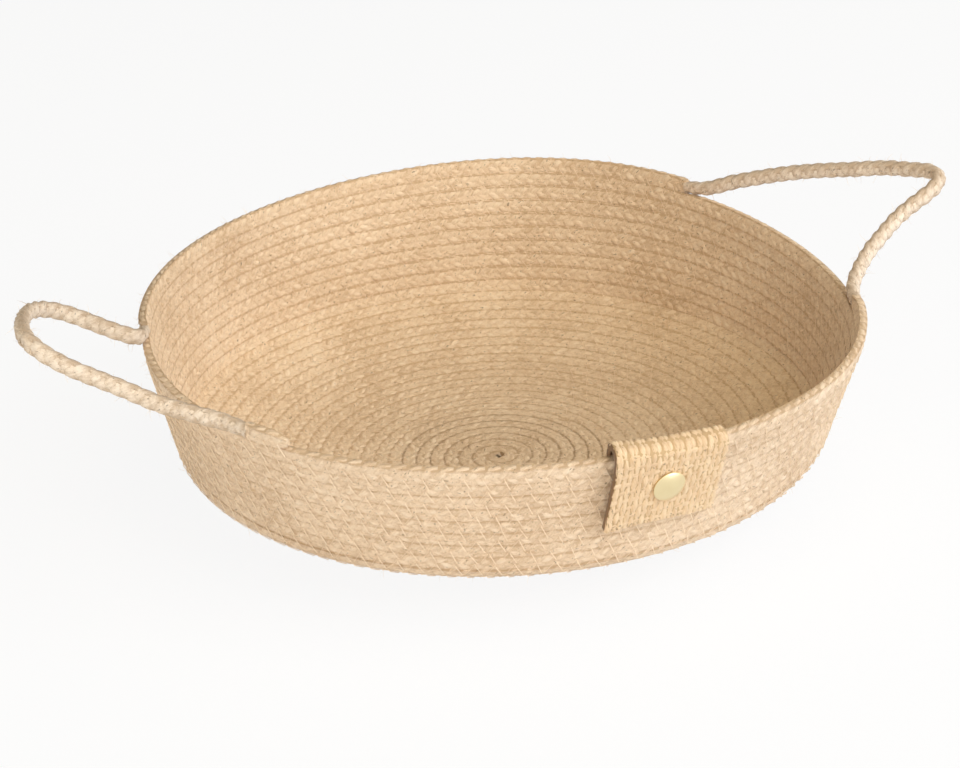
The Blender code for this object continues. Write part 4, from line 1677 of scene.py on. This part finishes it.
@dataclass
class Studio:
    """The floor, the lights and the camera at the photograph's angle.

    The camera aims at a point to the side of and above the middle, in rim radii.
    """

    form: BasketForm
    object_turn: float = 26.0
    camera_distance: float = 0.980
    camera_elevation: float = 25.1738
    camera_roll: float = -2.3292
    focal_pixels: float = 2480.2
    picture_width: float = 960.0
    sensor_width: float = 36.0
    clip_start: float = 0.05
    clip_end: float = 20.0
    aim: tuple[float, float] = (-0.04612, 0.25373)
    floor_half: float = 4.0

    def camera(self) -> None:
        """Place the camera."""
        tilt, roll = math.radians(self.camera_elevation), math.radians(self.camera_roll)
        right, raised = Vector((1, 0, 0)), Vector((0, math.sin(tilt), math.cos(tilt)))
        level = right * math.cos(roll) + raised * math.sin(roll)
        upright = raised * math.cos(roll) - right * math.sin(roll)
        target = Vector((self.aim[0], 0, self.aim[1])) * self.form.rim_radius
        frame = Matrix((level, upright, level.cross(upright))).transposed().to_4x4()
        frame.translation = target + Vector((0, -math.cos(tilt), math.sin(tilt))) * self.camera_distance
        data = bpy.data.cameras.new("photo_camera")
        data.sensor_width = self.sensor_width
        data.lens = self.focal_pixels / self.picture_width * self.sensor_width
        data.clip_start, data.clip_end = self.clip_start, self.clip_end
        camera = linked("photo_camera", data)
        camera.matrix_world = Matrix.Rotation(math.radians(-self.object_turn), 4, "Z") @ frame
        bpy.context.scene.camera = camera

    def sky(self) -> None:
        """Show a white background, which gives no light of its own."""
        world = bpy.data.worlds.new("studio")
        bpy.context.scene.world = world
        world.use_nodes = True
        book = NodeBook(world.node_tree)
        book.feed(world.node_tree.nodes["Background"], {"Color": WHITE, "Strength": book.seen()})

    def floor(self) -> None:
        """Add the floor."""
        mesh, half = bpy.data.meshes.new("floor"), self.floor_half
        corners = [(-half, -half, 0), (half, -half, 0), (half, half, 0), (-half, half, 0)]
        mesh.from_pydata(corners, [], [(0, 1, 2, 3)])
        mesh.materials.append(FloorFinish().build())
        linked("floor", mesh)

    def build(self) -> None:
        """Set the whole stage."""
        bpy.context.scene.view_settings.view_transform = "Standard"
        self.camera()
        self.floor()
        self.sky()
        for lamp in LAMPS:
            lamp.build(self.object_turn)


JUTES = (
    JuteFinish("plaited_jute", (0.90, 0.75, 0.57), (0.82, 0.64, 0.46), (0.60, 0.42, 0.26)),
    # painted light: a paler, less saturated copy of the rope for the handles, which catch more light; its
    # stronger depth shade is painted shade at the crossings
    JuteFinish(
        "handle_jute_painted_paler", (0.90, 0.79, 0.65), (0.82, 0.69, 0.55), (0.57, 0.43, 0.30),
        depth_contrast=0.65, inner_tint=(1.0, 1.0, 1.0),
    ),
    JuteFinish("loose_fibre", (0.92, 0.78, 0.60), (0.88, 0.72, 0.53), (0.76, 0.58, 0.39)),
    JuteFinish("sewing_thread", (0.93, 0.79, 0.61), (0.90, 0.74, 0.55), (0.82, 0.65, 0.46), bump=0.2),
    JuteFinish("jute_webbing", (0.86, 0.68, 0.45), (0.77, 0.56, 0.35), (0.60, 0.40, 0.22)),
    # painted shade: the dark sheet between the tab's yarns, near black on its turned-in flap
    JuteFinish(
        "webbing_painted_shade", (0.66, 0.46, 0.26), (0.56, 0.38, 0.20), (0.20, 0.11, 0.05), depth_contrast=1.6,
    ),
)


def clear_start_up() -> None:
    """Remove the objects of Blender's start-up scene."""
    for item in list(bpy.data.objects):
        bpy.data.objects.remove(item, do_unlink=True)


def bend_at_rim(piece: bpy.types.Object, loop: LoopForm, joints: Sequence[dict[str, Any]]) -> None:
    """Bake a handle's place into its mesh. It finds the way out from its bend joint but does not use it, so
    the handle is not bent.

    Args:
        piece: The handle.
        loop: Its form, which names its joint and body.
        joints: The frame's joints.
    """
    joint = next(entry for entry in joints if entry["name"] == loop.joint)
    start, axis = Vector(joint["pos_m"]), Vector(joint["axis"]).normalized()
    corners = np.empty(len(piece.data.vertices) * 3)
    piece.data.vertices.foreach_get("co", corners)
    away = Vector(corners.reshape(-1, 3).mean(0)) - start
    away = (away - axis * away.dot(axis)).normalized()
    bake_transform(piece)


def join_frame(
    piece: bpy.types.Object, node: str | None = None, rides: bool = True
) -> None:
    """Tie a piece to the basket's body if it rides there, hide the solid that it stands for, and report it.

    Args:
        piece: The piece.
        node: The solid that it stands for, if any.
        rides: Whether it rides on the basket's body.
    """
    if rides:
        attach(piece, Body.BASKET.value)
    if node is not None:
        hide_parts(node)
    LOG.info("%s: %d faces", piece.name, len(piece.data.polygons))


def main() -> None:
    """Build the basket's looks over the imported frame."""
    logging.basicConfig(level=logging.INFO, format="%(name)s: %(message)s")
    clear_start_up()
    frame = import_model()
    jute, handled, fibre, thread, webbing, ground = (finish.build() for finish in JUTES)
    form = BasketForm()
    thin_yarn, thick_yarn = YarnTree(4), YarnTree(8)

    for name, piece in Rope(form, jute, handled, fibre).build(PlaitTree("plaited_rope")).items():
        if name in LOOPS:
            bend_at_rim(piece, LOOPS[name], frame["joints"])
        join_frame(piece, STRETCHES[name], rides=name not in LOOPS)

    for piece in Sewing(form, thread).build(thin_yarn):
        join_frame(piece)

    tab = Tab(form, webbing, ground)
    sheet, *yarns = tab.build(thick_yarn)
    for piece, node in zip((sheet, *yarns), (None, "tab", None)):
        join_frame(piece, node)
    tab.length(0.0)

    for node, piece in Rivet(form, tab, BrassFinish().build()).build().items():
        join_frame(piece, node)

    Studio(form).build()


if __name__ == "__main__":
    main()
